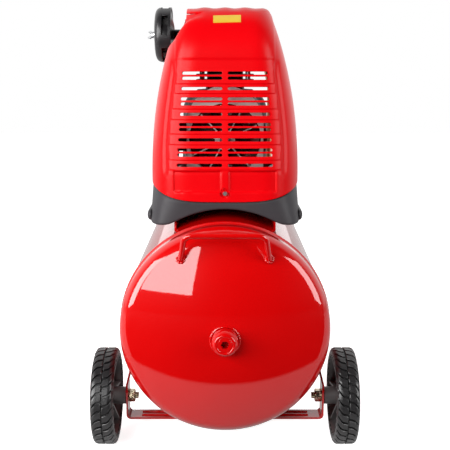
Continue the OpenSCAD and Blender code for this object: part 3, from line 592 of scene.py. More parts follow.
def weld_ring(centre, towards, radius, size, waves):
    """A rippled fillet of weld round a round foot."""
    segments = 96
    points = []
    section = 9
    for k in range(segments):
        a = 2 * math.pi * k / segments
        bulge = size * (1 + 0.07 * math.sin(waves * a))
        for j in range(section):
            t = math.pi * j / (section - 1)
            r = radius + bulge * 0.5 * (1 + math.cos(t)) - size * 0.1
            points.append((r * math.cos(a), r * math.sin(a), bulge * 0.75 * math.sin(t)))
    faces = grid_faces(segments, section)
    last = (segments - 1) * section
    faces += [(last + j, last + j + 1, j + 1, j) for j in range(section - 1)]
    return placed(points, centre, towards), faces


def end_plug(plug_face, side):
    """Painted plug: a flat face with a hexagon socket, flush with the end socket's rim."""
    half_flats, ring = 5.3, 48
    step = math.radians(60)
    rings = ((0.0, 11.0), (-0.5, 10.4), (0.0, 9.9), (0.0, 7.6), (0.0, 0), (-0.8, 0), (-12, 0))
    points = []
    for depth, radius in rings:
        for k in range(ring):
            a = 2 * math.pi * k / ring
            apothem = half_flats / math.cos((a % step) - step / 2)
            r = radius or apothem - (0.45 if depth < 0 else 0.0)
            points.append((r * math.cos(a), side * (plug_face + depth), TANK_Z + r * math.sin(a)))
    return points, grid_faces(7, ring, closed=True) + [tuple(range(6 * ring, 7 * ring))]


def end_socket(side):
    """Chamfered socket on a head, with its plug and its weld."""
    chamfer = 4.4
    end = SOCKET_END
    outer = [
        (SOCKET_R, end - SOCKET_LEN), (SOCKET_R, end - 7.6), (SOCKET_R - 0.25, end - 6.9),
        (SOCKET_R - chamfer + 0.5, end - 0.8), (SOCKET_R - chamfer - 0.3, end - 0.15),
        (SOCKET_R - chamfer - 1.0, end), (11.0, end),
    ]
    points, faces = lathe(outer)
    body = [(x, side * z, TANK_Z + y) for x, y, z in points], faces
    foot = (0, side * (-TANGENT_Y + DOME_H - 1.2), TANK_Z)
    return [body, end_plug(end, side), weld_ring(foot, (0, side, 0), SOCKET_R, 3.4, 40)]


def make_sockets():
    """Welded end sockets with painted hexagon-socket plugs, and the sockets of the tank's ports."""
    shapes = end_socket(-1) + end_socket(1)
    top, bottom = TANK_Z + TANK_R, TANK_Z - TANK_R
    for y in PORT_Y:
        port = [(8, -8), (8, 15.6), (8.4, 16), (13.4, 16), (14, 15.4), (14, -8)]
        points, faces = lathe(port, 64)
        shapes.append(([(px, y + py, top + pz) for px, py, pz in points], faces))
        shapes.append(weld_ring((0, y, top - 0.6), (0, 0, 1), 14, 4.0, 30))
    drain = [(5, 8), (5, -3.6), (5.4, -4), (10.6, -4), (11, -3.6), (11, 8)]
    points, faces = lathe(drain, 64)
    shapes.append(([(px, py, bottom + pz) for px, py, pz in points], faces))
    shapes.append(weld_ring((0, 0, bottom + 0.6), (0, 0, -1), 11, 3.6, 24))
    points, faces = joined(*shapes)
    mesh_piece("tank_socket_detail", points, faces, "red_paint", smooth=32, replaces=("tank_sockets",))


def make_bail():
    """Bent-rod lifting bar with its two weld fillets."""
    radius = 4.0
    foot = Vector((60.5, TANGENT_Y - 31.3, TANK_Z + 109))
    top = Vector((54.5, TANGENT_Y - 48, TANK_Z + 145))
    route = [foot, top, Vector((-top.x, top.y, top.z)), Vector((-foot.x, foot.y, foot.z))]
    shapes = [swept(rounded_path(route, 12, 14), radius, 28)]
    for x in (-foot.x, foot.x):
        r = math.hypot(x, foot.z - TANK_Z)
        depth = math.sqrt(CROWN_R**2 - r**2) - (CROWN_R - DOME_H)
        normal = Vector((x, -math.sqrt(CROWN_R**2 - r**2), foot.z - TANK_Z))
        shapes.append(weld_ring((x, TANGENT_Y - depth, foot.z), normal, radius * 0.8, 4.2, 9))
    points, faces = joined(*shapes)
    mesh_piece("rear_lifting_bar", points, faces, "red_paint", smooth=50, replaces=("rear_bail",))


# ---------- hood ----------

TAPER_Z, TAPER_HEIGHT, TAPER, TAPER_POWER = 385, 236, 39.3, 2.2
LEAN, LEAN_Z = 15, 400
CORNER_POWER = 3.2
CORNER_SPREAD = 75.0
CORNER_LENGTH = CORNER_SPREAD * np.pi / 2
FLAT_SHARE = 0.36
HOOD_FOOT, PLAIN_Z = 352, 412
SLOT_R, SLOT_GAP = 2.3, 4.0
CREASE_Z = 565.0
BAND_PITCH = 18.25
FIRST_BAND = 541.9
NOTCH_R = FILTER_R + 5
NOTCH_END, NOTCH_Z, NOTCH_SMALL_R = -205.0, 605.0, 7.0
NOTCH_X = -57


def flank_x(z):
    """Half width of the hood at height z, with its round shoulder."""
    above = np.clip(z - TAPER_Z, 0, BODY_TOP - TAPER_Z)
    flank = HOOD_W - TAPER * (above / TAPER_HEIGHT) ** TAPER_POWER
    past = np.clip((z - BODY_TOP) / SHOULDER, 0, 1)
    return flank - SHOULDER * (1 - np.sqrt(1 - past**2))


def nose_y(z):
    """The rear face leans a little up to the crease and bends back in a quarter ellipse above it."""
    lean = LEAN * np.clip((z - LEAN_Z) / (CREASE_Z - LEAN_Z), 0, 1)
    past = np.clip((z - CREASE_Z) / (HOOD_TOP - CREASE_Z), 0, 1)
    return HOOD_Y0 + lean + NOSE_BACK * (1 - np.sqrt(1 - past**2))


def outline_point(q, w, y0, power=CORNER_POWER):
    """Point (x, y) of an outline of half width w; q runs round it from the middle of the rear."""
    a = np.abs(q)
    flat = FLAT_SHARE * w
    phi = np.clip(np.pi / 2 - (a - flat) / CORNER_SPREAD, 0, np.pi / 2)
    c, s = np.cos(phi), np.sin(phi)
    r = (c**power + s**power) ** (-1 / power)
    x = np.where(a < flat, a, flat + (w - flat) * r * c)
    y = np.where(a < flat, y0, y0 + (FLANK_Y - y0) * (1 - r * s))
    end = flat + CORNER_LENGTH
    y = np.where(a > end, FLANK_Y + (a - end), y)
    return np.sign(q) * x, y


def hood_point(q, z, off=0.0):
    """Point of the hood's skin at height z, moved inward by off."""
    return outline_point(q, flank_x(z) - off, nose_y(z) + off)


def q_of_x(x, z):
    """Inverse of hood_point on the rear face."""
    w = flank_x(z)
    flat = FLAT_SHARE * w
    a = np.abs(x)
    u = np.clip((a - flat) / (w - flat), 0, 0.999)
    v = (1 - u**CORNER_POWER) ** (1 / CORNER_POWER)
    phi = np.arctan2(v, u)
    return np.sign(x) * np.where(a < flat, a, flat + CORNER_SPREAD * (np.pi / 2 - phi))


def joint_z(x):
    """Height of the joint between hood and tray."""
    return 360.5 + 20 * (np.minimum(np.abs(x), 116) / 110) ** 3.5


def band_step(z):
    """Shallow clapboard steps: double bands of 22 mm and single bands of 14.5 mm."""
    half_double, half_single = 11.0, 7.25
    k = np.round((FIRST_BAND - z) / BAND_PITCH)
    out = np.zeros_like(z)
    for index in range(8):
        centre = FIRST_BAND - BAND_PITCH * index
        half = half_double if index % 2 == 0 else half_single
        inside = (z <= centre + half) & (z > centre - half)
        out = np.where(inside, 1.1 * (centre + half - z) / (2 * half) - 0.2, out)
    return out


def opening_distance(y, z):
    """Distance in mm outside the notch that the intake filter stands in, seen from the side."""
    big, small = np.array([FILTER_Y, FILTER_Z]), np.array([NOTCH_END, NOTCH_Z])
    way = small - big
    h = float(way @ way)
    py, pz = y - big[0], z - big[1]
    qx = np.abs(py * way[1] - pz * way[0]) / h
    qy = (py * way[0] + pz * way[1]) / h
    shrink = NOTCH_R - NOTCH_SMALL_R
    cx = math.sqrt(h - shrink * shrink)
    cross = cx * qy - shrink * qx
    n = qx * qx + qy * qy
    round_big = np.sqrt(h * n) - NOTCH_R
    round_small = np.sqrt(np.maximum(0, h * (n + 1 - 2 * qy))) - NOTCH_SMALL_R
    slanted = cx * qx + shrink * qy - NOTCH_R
    capsule = np.where(cross < 0, round_big, np.where(cross > cx, round_small, slanted))
    beyond_y = np.maximum(0, np.maximum(NOTCH_END - NOTCH_SMALL_R - y, y - FILTER_Y - NOTCH_R))
    below = np.maximum(0, NOTCH_Z - z)
    return np.minimum(capsule, np.hypot(beyond_y, below))


def opening_recess(x, y, z):
    """How far the left flank is pressed in round the filter's notch."""
    depth = 4.5
    return depth * smoothstep(11, 1, opening_distance(y, z)) * smoothstep(-24, -50, x)


def face_relief(x, z):
    """Relief of the rear face in mm: bands, side grooves, lower recess and screw well."""
    a = np.abs(x)
    edge = 81 - 12 * np.clip((z - 440) / 105, 0, 1) ** 1.4
    in_panel = smoothstep(edge + 1.2, edge - 1.2, a) * smoothstep(404, 408, z)
    in_panel = in_panel * smoothstep(555.5, 553.5, z)
    relief = band_step(z) * in_panel
    groove = np.exp(-(((a - edge - 6) / 3.4) ** 4)) * smoothstep(394, 412, z) * smoothstep(568, 556, z)
    relief -= 2.0 * groove
    relief += 0.9 * smoothstep(CREASE_Z - 0.8, CREASE_Z + 0.8, z) * smoothstep(74, 70, a)
    recess = smoothstep(75.5, 73.5, a) * smoothstep(5.2, 7.0, a)
    recess = recess * smoothstep(374, 376, z) * smoothstep(406, 404, z)
    relief -= 2.2 * recess
    well = smoothstep(7.2, 6.0, np.hypot(x, z - 373))
    return relief * (1 - well) - 2.2 * well


def top_ribs(x, z):
    """Shallow lengthwise flutes on the roof."""
    return -1.4 * (0.5 - 0.5 * np.cos(2 * np.pi * x / 30)) * smoothstep(BODY_TOP, HOOD_TOP, z)


def skin_points(q, z):
    """Points of the rear hood skin with its relief, pushed along the surface's normal."""
    def at(qq, zz):
        x, y = hood_point(qq, zz)
        return np.stack([x, y, zz], -1)

    here = at(q, z)
    along_q = at(q + 0.2, z) - at(q - 0.2, z)
    along_z = at(q, z + 0.2) - at(q, z - 0.2)
    normal = np.cross(along_q, along_z)
    normal /= np.linalg.norm(normal, axis=-1, keepdims=True)
    relief = face_relief(here[:, 0], z) - opening_recess(here[:, 0], here[:, 1], z)
    return here + normal * relief[:, None]


def slot_rows():
    """(height, half length) of every slot, top to bottom."""
    rows = []
    for k in range(8):
        z = FIRST_BAND - BAND_PITCH * k
        for dz in (-3.6, 3.6) if k % 2 == 0 else (0,):
            rows.append((z + dz, 62 + 8 * k / 7))
    return rows


def roof_skin(rim):
    """Triangulated roof inside the rim, a row of points from left to right round the rear."""
    outline = [Vector((x, y)) for x, y, _ in rim]
    n = len(outline)
    far = rim[0][1]
    verts = list(outline)
    half = n // 2
    for y in np.arange(rim[half][1] + 4, far - 3, 5.0):
        reach = float(np.interp(y, rim[half:, 1], rim[half:, 0])) - 1.5
        verts += [Vector((x, y)) for x in np.arange(-57, 57.1, 3.0) if abs(x) < reach]
    edges = [(i, i + 1) for i in range(n - 1)] + [(n - 1, 0)]
    flat, _, triangles, *_ = delaunay_2d_cdt(verts, edges, [], 1, 1e-5)
    xy = np.array([tuple(p) for p in flat])
    z = HOOD_TOP + top_ribs(xy[:, 0], np.full(len(xy), HOOD_TOP))
    return np.column_stack([xy, z]).tolist(), [tuple(t) for t in triangles]


def hood_lines():
    """Grid lines of the rear hood: round the outline and up the face, denser at each band's step."""
    q_max = FLAT_SHARE * HOOD_W + CORNER_LENGTH + (HOOD_SPLIT - 0.4 - FLANK_Y)
    q_half = np.concatenate([np.arange(1.5, 104, 1.5), np.linspace(104, q_max, 26)])
    steps = []
    for index in range(9):
        centre = FIRST_BAND - BAND_PITCH * (index - 0.5)
        edge = centre - (1.875 if index % 2 == 0 else -1.875)
        steps += [edge - 0.35, edge + 0.35]
    low, face = np.arange(HOOD_FOOT, PLAIN_Z, 2.0), np.arange(PLAIN_Z, 566, 1.7)
    slope = np.arange(566.5, BODY_TOP, 2.2)
    z_lines = np.sort(np.concatenate([low, face, slope, [BODY_TOP], steps]))
    z_lines = z_lines[np.concatenate([[True], np.diff(z_lines) > 0.3])]
    z_lines[-1] = BODY_TOP
    return np.concatenate([-q_half[::-1], [0], q_half]), z_lines


def slot_loop(z, half, side):
    """Outline (q, z) of one slot."""
    inner, outer = SLOT_GAP + SLOT_R, half - SLOT_R
    loop = arc((outer, z), SLOT_R, -90, 90, 8)
    loop += [(x, z + SLOT_R) for x in np.linspace(outer, inner, 26)[1:-1]]
    loop += arc((inner, z), SLOT_R, 90, 270, 8)
    loop += [(x, z - SLOT_R) for x in np.linspace(inner, outer, 26)[1:-1]]
    x, z_loop = np.array(loop).T
    return list(zip(q_of_x(side * x, z_loop), z_loop))


def in_a_slot(x, z):
    """Whether points of the face lie in any slot."""
    inside = np.zeros(len(x), bool)
    for height, half in slot_rows():
        end = np.maximum(0, np.maximum(np.abs(x) - (half - SLOT_R), (SLOT_GAP + SLOT_R) - np.abs(x)))
        inside |= np.hypot(end, np.abs(z - height)) < SLOT_R - 0.02
    return inside


def near_a_slot(x, z):
    """Whether points of the face are too close to a slot's outline to be grid points."""
    near = np.zeros(len(x), bool)
    for height, half in slot_rows():
        beside = (np.abs(x) > SLOT_GAP - 0.8) & (np.abs(x) < half + 0.8)
        near |= (np.abs(z - height) < SLOT_R + 0.55) & beside
    return near


def slotted_face(q_lines, z_lines):
    """Triangulated rear face with the slots as holes, its lower rows bent to the joint's curve."""
    grid = np.array([(q, z) for z in z_lines for q in q_lines])
    grid = grid[~near_a_slot(hood_point(grid[:, 0], grid[:, 1])[0], grid[:, 1])]
    verts = [Vector(p) for p in grid]
    edges = []
    loops = [slot_loop(z, half, side) for z, half in slot_rows() for side in (-1, 1)]
    for loop in loops:
        start = len(verts)
        verts += [Vector(p) for p in loop]
        edges += [(start + i, start + (i + 1) % len(loop)) for i in range(len(loop))]
    flat, _, triangles, *_ = delaunay_2d_cdt(verts, edges, [], 0, 1e-5)
    q, z = np.array([tuple(p) for p in flat]).T
    middles = np.array([(q[list(t)].mean(), z[list(t)].mean()) for t in triangles])
    hole = in_a_slot(hood_point(middles[:, 0], middles[:, 1])[0], middles[:, 1])
    low_edge = joint_z(hood_point(q, z)[0])
    bent = low_edge + (z - HOOD_FOOT) * (PLAIN_Z - low_edge) / (PLAIN_Z - HOOD_FOOT)
    points = skin_points(q, np.where(z < PLAIN_Z, bent, z))
    return points.tolist(), [t for t, h in zip(triangles, hole) if not h]


def shoulder_rows(q_lines):
    """Rows of points round the shoulder, from the top of the face to the roof's rim."""
    rows = []
    for a in np.radians([0, 15, 30, 45, 60, 75, 90]):
        z = np.full(len(q_lines), BODY_TOP + SHOULDER * math.sin(a))
        x, y = hood_point(q_lines, z)
        x = x + opening_recess(x, y, z)
        rows.append(np.stack([x, y, z + top_ribs(x, z)], -1))
    return rows


def finish_hood(name, points, faces, node):
    """Turns a hood skin into a moulded wall with the filter's notch cut out."""
    piece = mesh_piece(name, points, faces, "red_plastic", replaces=(node,), smooth=32)
    thicken(piece, WALL, smooth=32)
    round_edges(piece, 0.5, 50, 32)
    outline, cut_faces = prism(notch_outline(), -150, NOTCH_X)
    cut(piece, tool_object([(h, y, z) for y, z, h in outline], cut_faces), "MANIFOLD")
    settle(piece, 32)


def make_hood_rear():
    """Rear hood: slotted face, shoulder and roof."""
    q_lines, z_lines = hood_lines()
    rows = shoulder_rows(q_lines)
    shoulder = np.concatenate(rows).tolist(), grid_faces(len(rows), len(q_lines))
    points, faces = joined(slotted_face(q_lines, z_lines), shoulder, roof_skin(rows[-1]))
    finish_hood("hood_rear_skin", points, faces, "hood_rear")


def notch_outline():
    """Outline (y, z) of the notch: a teardrop below, open to the roof above."""
    big, small = Vector((FILTER_Y, FILTER_Z)), Vector((NOTCH_END, NOTCH_Z))
    way = math.degrees(math.atan2(small.y - big.y, small.x - big.x)) % 360
    touch = math.degrees(math.acos((NOTCH_R - NOTCH_SMALL_R) / (small - big).length))
    lower = arc(small, NOTCH_SMALL_R, 180, way + touch, 10) + arc(big, NOTCH_R, way + touch, 360, 40)
    above = HOOD_TOP + 20
    return lower + [(FILTER_Y + NOTCH_R, above), (NOTCH_END - NOTCH_SMALL_R, above)]


def tool_object(points, faces):
    """A closed shape to cut with, in mm."""
    data = bpy.data.meshes.new("tool")
    data.from_pydata([tuple(c * MM for c in p) for p in points], [], faces)
    tool = bpy.data.objects.new("tool", data)
    bpy.context.scene.collection.objects.link(tool)
    tidy(tool)
    return tool


def front_section():
    """Half outline (x, z) of the front hood from its lower edge to the middle of the roof."""
    heights = np.concatenate([
        np.linspace(float(joint_z(HOOD_W)), BODY_TOP, 90),
        BODY_TOP + SHOULDER * np.sin(np.radians([15, 30, 45, 60, 75, 90])),
    ])
    side = [(float(flank_x(z)), float(z)) for z in heights]
    return side + [(x, HOOD_TOP) for x in np.linspace(side[-1][0], 0, 31)[1:]]


def side_panel(y, z):
    """Depth of the pressed side panel."""
    inside = smoothstep(HOOD_SPLIT + 14, HOOD_SPLIT + 18, y) * smoothstep(HOOD_Y1 - 14, HOOD_Y1 - 18, y)
    inside = inside * smoothstep(428, 432, z) * smoothstep(552, 548, z)
    return 1.8 * float(inside) if z < BODY_TOP else 0.0


def make_hood_front():
    """Front hood: the same outline carried forward, with pressed side panels and roof flutes."""
    half = front_section()
    outline = half + [(-x, z) for x, z in reversed(half[:-1])]
    depths = np.linspace(HOOD_SPLIT + 0.4, HOOD_Y1 - 0.2, 75)
    points = []
    for y in depths:
        for x, z in outline:
            inset = side_panel(y, z) + float(opening_recess(x, y, min(z, BODY_TOP)))
            lift = float(top_ribs(np.array(x), np.array(z)))
            points.append((x - math.copysign(inset, x), y, z + lift))
    finish_hood("hood_front_skin", points, grid_faces(len(depths), len(outline)), "hood_front")


def make_label():
    """Blank label that follows the slope of the hood."""
    middle_z, half_w, half_h, centre_x, tilt = 622.4, 20, 5.4, 3, 0.026
    rows, columns = 13, 25
    points = []
    for i in range(rows):
        z = middle_z + half_h * (2 * i / (rows - 1) - 1)
        for j in range(columns):
            across = half_w * (2 * j / (columns - 1) - 1)
            height = np.array(z + across * tilt)
            q = q_of_x(np.array(centre_x + across), height)
            px, py = hood_point(q, height, off=-1.25)
            points.append((float(px), float(py), float(height)))
    piece = mesh_piece("blank_label", points, grid_faces(rows, columns), "red_plastic", finish=LABEL)
    thicken(piece, 0.25, 1.0)


# ---------- tray ----------


def arch_z(x):
    """Lower edge of the tray: an arc over the tank that runs out into a straight foot."""
    foot_z, rise, softness = 324.5, 24.7, 6
    over = rise - ARCH_R + np.sqrt(ARCH_R**2 - np.minimum(np.abs(x), 140) ** 2)
    return foot_z + (over + np.sqrt(over * over + softness**2)) / 2


def tray_outline(q, foot):
    """Outline of the tray: the hood's at the top, wider and with squarer corners at its foot."""
    power = CORNER_POWER + (6 - CORNER_POWER) * foot
    x, y = outline_point(q, HOOD_W - 1.2 + 2.0 * foot, HOOD_Y0 + 1.2, power)
    return x, np.minimum(y, TRAY_FRONT - 0.2)


def skirt_points(q_lines, rows):
    """Rows of points of the skirt, from its rolled lower edge to the joint with the hood."""
    low = arch_z(tray_outline(q_lines, 1.0)[0])
    high = joint_z(tray_outline(q_lines, 0.0)[0]) - 1.2
    points = []
    for i in range(rows):
        z = low + (high - low) * (i / (rows - 1)) ** 1.3
        x, y = tray_outline(q_lines, np.clip((384 - z) / 62, 0, 1) ** 1.4)
        rolled = 2.2 * (1 - np.sqrt(1 - np.clip(1 - (z - low) / 3.6, 0, 1) ** 2))
        dx, dy = np.gradient(x), np.gradient(y)
        length = np.maximum(1e-6, np.hypot(dx, dy))
        inward = rolled + 0.5 + 0.8 * smoothstep(3.0, 0.0, high - z)
        points += list(zip(x - dy / length * inward, y + dx / length * inward, z))
    return points


def make_tray_rails():
    """Rounded rail along each side of the tray, tapered at its ends."""
    section = [(6.0 * math.cos(a) ** 0.7, 8.6 * math.sin(a)) for a in np.linspace(-1.5707, 1.5707, 13)]
    stations = ((-224, 0.15), (-223, 0.5), (-220.5, 0.8), (-216, 0.96), (-208, 1), (86, 1), (90, 0.7))
    shapes = []
    for side in (-1, 1):
        rail = []
        for y, size in stations:
            rail += [(side * (111.4 + a * size), y, 334.5 + b * size) for a, b in section]
        shapes.append((rail, grid_faces(len(stations), len(section))))
    points, faces = joined(*shapes)
    rails = mesh_piece("tray_rails", points, faces, "grey_plastic", smooth=50)
    settle(rails)


def make_tray():
    """Moulded tray: curved skirt with the arch, floor, rails and front wall."""
    last = FLAT_SHARE * HOOD_W + CORNER_LENGTH + TRAY_FRONT - FLANK_Y
    q_half = np.concatenate([np.linspace(0, 210, 130)[1:], np.linspace(210, last + 2, 22)[1:]])
    q_lines = np.concatenate([-q_half[::-1], [0], q_half])
    rows = 30
    points, faces = skirt_points(q_lines, rows), grid_faces(rows, len(q_lines))
    skirt = mesh_piece("tray_skirt", points, faces, "grey_plastic", replaces=("base_tray",), smooth=40)
    thicken(skirt, 2.6, smooth=40)
    round_edges(skirt, 0.6, 50, 40)
    x, y = tray_outline(q_lines, 0.3)
    points, faces = prism([(float(a) * 0.98, float(b) + 2) for a, b in zip(x, y)], 355.0, 358.0)
    mesh_piece("tray_floor", points, faces, "grey_plastic")
    make_tray_rails()
    half, y0, y1 = 108, TRAY_FRONT - 2.8, TRAY_FRONT
    points, faces = prism([(-half, y0), (half, y0), (half, y1), (-half, y1)], 355, 377)
    round_edges(mesh_piece("tray_front_wall", points, faces, "grey_plastic"), 0.8)


# ---------- wheels ----------

TYRE_HALF = (TYRE_OUT - TYRE_IN) / 2
TREAD_BLOCKS = 34
TREAD_PITCH = 2 * math.pi / TREAD_BLOCKS
TREAD_DEPTH = 4.2
RIM_LIP = 61.5
WINDOWS, WINDOW_STEPS = 6, 24
WEB_FACES = (TYRE_HALF - 12.5, TYRE_HALF - 16.0)
WEB_OUT, WINDOW_OUT, WINDOW_IN, WEB_IN = 44.5, 41.0, 20.0, 14.0


def tyre_mesh():
    """Solid tyre at the origin, its axis along +X: a moulded body with two staggered rows of blocks."""
    base = WHEEL_R - TREAD_DEPTH
    shoulder = base - 3.4
    section = [(RIM_LIP - 1.0, 2.5), (RIM_LIP, 0.4), (RIM_LIP + 1.2, 0), (shoulder, 0)]
    for a in np.radians([20, 45, 70, 90]):
        section.append((shoulder + 3.4 * math.sin(a), 3.4 * (1 - math.cos(a))))
    section = [(r, x - TYRE_HALF) for r, x in section]
    section += [(base, x) for x in np.linspace(-TYRE_HALF + 6, 0, 5)]
    section += [(r, -x) for r, x in reversed(section[:-1])]
    points, faces = lathe(section, TREAD_BLOCKS * 6)
    shapes = [(along_x(points), faces)]
    for side in (-1, 1):
        for k in range(TREAD_BLOCKS):
            centre = TREAD_PITCH * (k + 0.25 * side)
            shapes.append(tread_block(centre, side))
            shapes.append(side_lug(centre, side))
    return joined(*shapes)


def tread_block(centre, side):
    """One slanted block: a bevelled slab bent round the tyre."""
    slant, kink = 0.9, 0.3
    root = WHEEL_R - TREAD_DEPTH - 0.6
    inner, outer = 0.9, TYRE_HALF - 1.0
    across = [inner, inner + 0.7, (inner + outer) / 2, outer - 4.2, outer - 1.4, outer]
    drop = [0.7, 0, 0, 0, 1.2, 3.0]
    width = TREAD_PITCH * 0.37
    along = [-width, -width + 0.007, 0, width - 0.007, width]
    edge = [0.6, 0, 0, 0, 0.6]
    points = []
    for x, d in zip(across, drop):
        part = (x - inner) / (outer - inner)
        lean = TREAD_PITCH * (slant * part - kink * math.sin(math.pi * part))
        for t, e in zip(along, edge):
            a = centre + t + side * lean
            r = WHEEL_R - max(d, e)
            points.append((side * x, r * math.cos(a), r * math.sin(a)))
    top = len(points)
    ring = list(range(5)) + list(range(9, 30, 5)) + list(range(28, 24, -1)) + list(range(20, 4, -5))
    for i in ring:
        x, y, z = points[i]
        r = math.hypot(y, z)
        points.append((x, y / r * root, z / r * root))
    n = len(ring)
    walls = [(ring[i], ring[(i + 1) % n], top + (i + 1) % n, top + i) for i in range(n)]
    return points, grid_faces(len(across), len(along)) + walls


def side_lug(centre, side):
    """Small rib that carries each block a little way down the sidewall."""
    base = WHEEL_R - TREAD_DEPTH
    x0, x1 = TYRE_HALF - 3.0, TYRE_HALF - 0.05
    outline = [
        (base - 9, x1 - 0.6), (base - 8.4, x1), (base - 2.5, x1),
        (base + 0.6, x1 - 1.0), (base + 0.6, x0), (base - 9, x0),
    ]
    middle, width = centre + side * 0.62 * TREAD_PITCH, TREAD_PITCH * 0.22
    points = []
    for a in (middle - width, middle + width):
        points += [(side * x, r * math.cos(a), r * math.sin(a)) for r, x in outline]
    return points, capped(len(outline))


def web_x(face_x, r):
    """The web is dished towards the hub."""
    return face_x - 2.2 * (WEB_OUT - r) / (WEB_OUT - WEB_IN)


def rim_web(face_x):
    """One face of the web, with its windows left out."""
    columns = WINDOWS * WINDOW_STEPS
    points = []
    for r in (WEB_OUT, WINDOW_OUT, WINDOW_IN, WEB_IN):
        points += [(web_x(face_x, r), y, z) for y, z, _ in turned([(r, 0)], columns)]
    faces = []
    for i, face in enumerate(grid_faces(4, columns, closed=True)):
        row, part = i // columns, i % columns % WINDOW_STEPS
        if row != 1 or not 3 <= part < WINDOW_STEPS - 3:
            faces.append(face)
    return points, faces


def rim_spoke(index):
    """Walls of one window and the rib between two windows."""
    step = 2 * math.pi / (WINDOWS * WINDOW_STEPS)
    first = index * WINDOW_STEPS
    a0, a1 = step * (first + 3), step * (first + WINDOW_STEPS - 3)
    loop = [(WINDOW_OUT, a) for a in np.linspace(a0, a1, WINDOW_STEPS - 5)]
    loop += [(WINDOW_IN, a) for a in np.linspace(a1, a0, WINDOW_STEPS - 5)]
    walls = []
    for face_x in WEB_FACES:
        walls += [(web_x(face_x, r), r * math.cos(a), r * math.sin(a)) for r, a in loop]
    a = 2 * math.pi * index / WINDOWS
    half = TYRE_HALF
    outline = [(9 - half, 12.0), (9 - half, 24), (3 - half, 56), (half - 16, 56.5), (half - 18, 12.0)]
    rib = []
    for s in (-1.6, 1.6):
        rib += [
            (x, r * math.cos(a) - s * math.sin(a), r * math.sin(a) + s * math.cos(a)) for x, r in outline
        ]
    return [(walls, wall_faces(len(loop))), (rib, capped(5))]


def rim_mesh(mid):
    """Moulded rim, its axis along +X: dished web with six ribs and windows, and a long hub."""
    lip, half = RIM_LIP, TYRE_HALF
    band = [
        (lip + 0.1, half - 0.6), (lip, half), (lip - 2.5, half), (lip - 3.4, half - 1.2),
        (lip - 5.0, half - 5), (lip - 5.4, half - 11), (44, half - 12.5),
    ]
    back = [
        (44, half - 16), (lip - 5.4, half - 18), (lip - 4.6, 4 - half), (lip - 3.0, 1.0 - half),
        (lip - 1.6, 0.3 - half), (lip, 0.6 - half), (lip + 0.1, 2 - half),
    ]
    hub_in, hub_out = BRACKET_X + 0.5 - mid, TYRE_OUT - 8.1 - mid
    hub = [
        (5.3, hub_in), (12.0, hub_in), (12.8, hub_in + 0.8), (13.4, hub_out - 0.8),
        (12.6, hub_out), (5.3, hub_out), (5.3, hub_in),
    ]
    shapes = []
    for profile, segments in ((band, 144), (back, 144), (hub, 64)):
        points, faces = lathe(profile, segments)
        shapes.append((along_x(points), faces))
    shapes += [rim_web(face_x) for face_x in WEB_FACES]
    for index in range(WINDOWS):
        shapes += rim_spoke(index)
    return joined(*shapes)


def make_wheels():
    """Tyre and rim of each wheel, on the wheel's body."""
    mid = (TYRE_IN + TYRE_OUT) / 2
    kinds = (("tyre", tyre_mesh(), "tyre_rubber"), ("rim", rim_mesh(mid), "black_plastic"))
    for name, side in (("left", -1), ("right", 1)):
        for kind, (points, faces), slot in kinds:
            moved = [(side * (mid + x), AXLE_Y + y, WHEEL_R + z) for x, y, z in points]
            node = f"{name}_{kind}"
            piece = mesh_piece(f"{node}_detail", moved, faces, slot, f"{name}_wheel", (node,), 38)
            if kind == "rim":
                piece.data.materials[0] = RIM_FINISH


def threaded_rod(start, end, radius, pitch=1.5, depth=0.55):
    """Thread along +Z from start to end, as a fine helical ridge."""
    segments = 32
    steps = int((end - start) / pitch * segments) + 1
    root = radius - depth
    section = [(root, 0.0), (radius, 0.32 * pitch), (radius, 0.5 * pitch), (root, 0.82 * pitch)]
    points = []
    for k in range(steps + 1):
        a = 2 * math.pi * k / segments
        rise = start + pitch * k / segments
        points += [(r * math.cos(a), r * math.sin(a), rise + h) for r, h in section]
    core = [
        (0.01, start), (root - 0.3, start), (root + 0.02, start + 0.8), (root + 0.02, end + pitch),
        (0.01, end + pitch),
    ]
    return joined((points, grid_faces(steps + 1, len(section))), lathe(core, 32))


def hex_nut(low, high, flats, bore):
    """Nut along +Z with chamfered corners."""
    corner, flat = flats / math.sqrt(3) + 1, flats / 2 - 0.2
    segments = 60
    step = math.radians(60)
    points = []
    for h, limit in ((low, flat), (low + 0.9, corner), (high - 0.9, corner), (high, flat)):
        for k in range(segments):
            a = 2 * math.pi * k / segments
            r = min(flats / 2 / math.cos((a % step) - step / 2), limit)
            points.append((r * math.cos(a), r * math.sin(a), h))
    faces = grid_faces(4, segments, closed=True)
    points += turned([(bore, low), (bore, high)], segments)
    faces += wall_faces(segments, 0, 4 * segments)
    faces += wall_faces(segments, 3 * segments, 5 * segments)
    return points, faces


def make_axle_bolts():
    """Axle bolts: head, washer, thread end and nut."""
    inside, head = BRACKET_X, TYRE_OUT - 6.4
    washer = [
        (5.1, head - 1.6), (10.8, head - 1.6), (11, head - 1.3), (11, head - 0.2), (10.8, head),
        (5.1, head),
    ]
    bolt, bolt_faces = joined(
        threaded_rod(inside - 17.5, inside - 0.5, 5.0),
        lathe([(4.95, inside - 1), (4.95, head)], 32),
        hex_nut(inside - 12.5, inside - 3.1, 17, 4.6),
        lathe([(5, inside - 3.05), (10.6, inside - 3.05), (10.6, inside - 3.0)], 48),
        lathe(washer, 64),
        hex_nut(head, TYRE_OUT, 17, 0.05),
    )
    pair = [([(side * z, AXLE_Y + x, WHEEL_R + y) for x, y, z in bolt], bolt_faces) for side in (-1, 1)]
    points, faces = joined(*pair)
    mesh_piece("axle_bolt_detail", points, faces, "yellow_zinc", replaces=("axle_bolts",), smooth=30)


# ---------- intake filter ----------


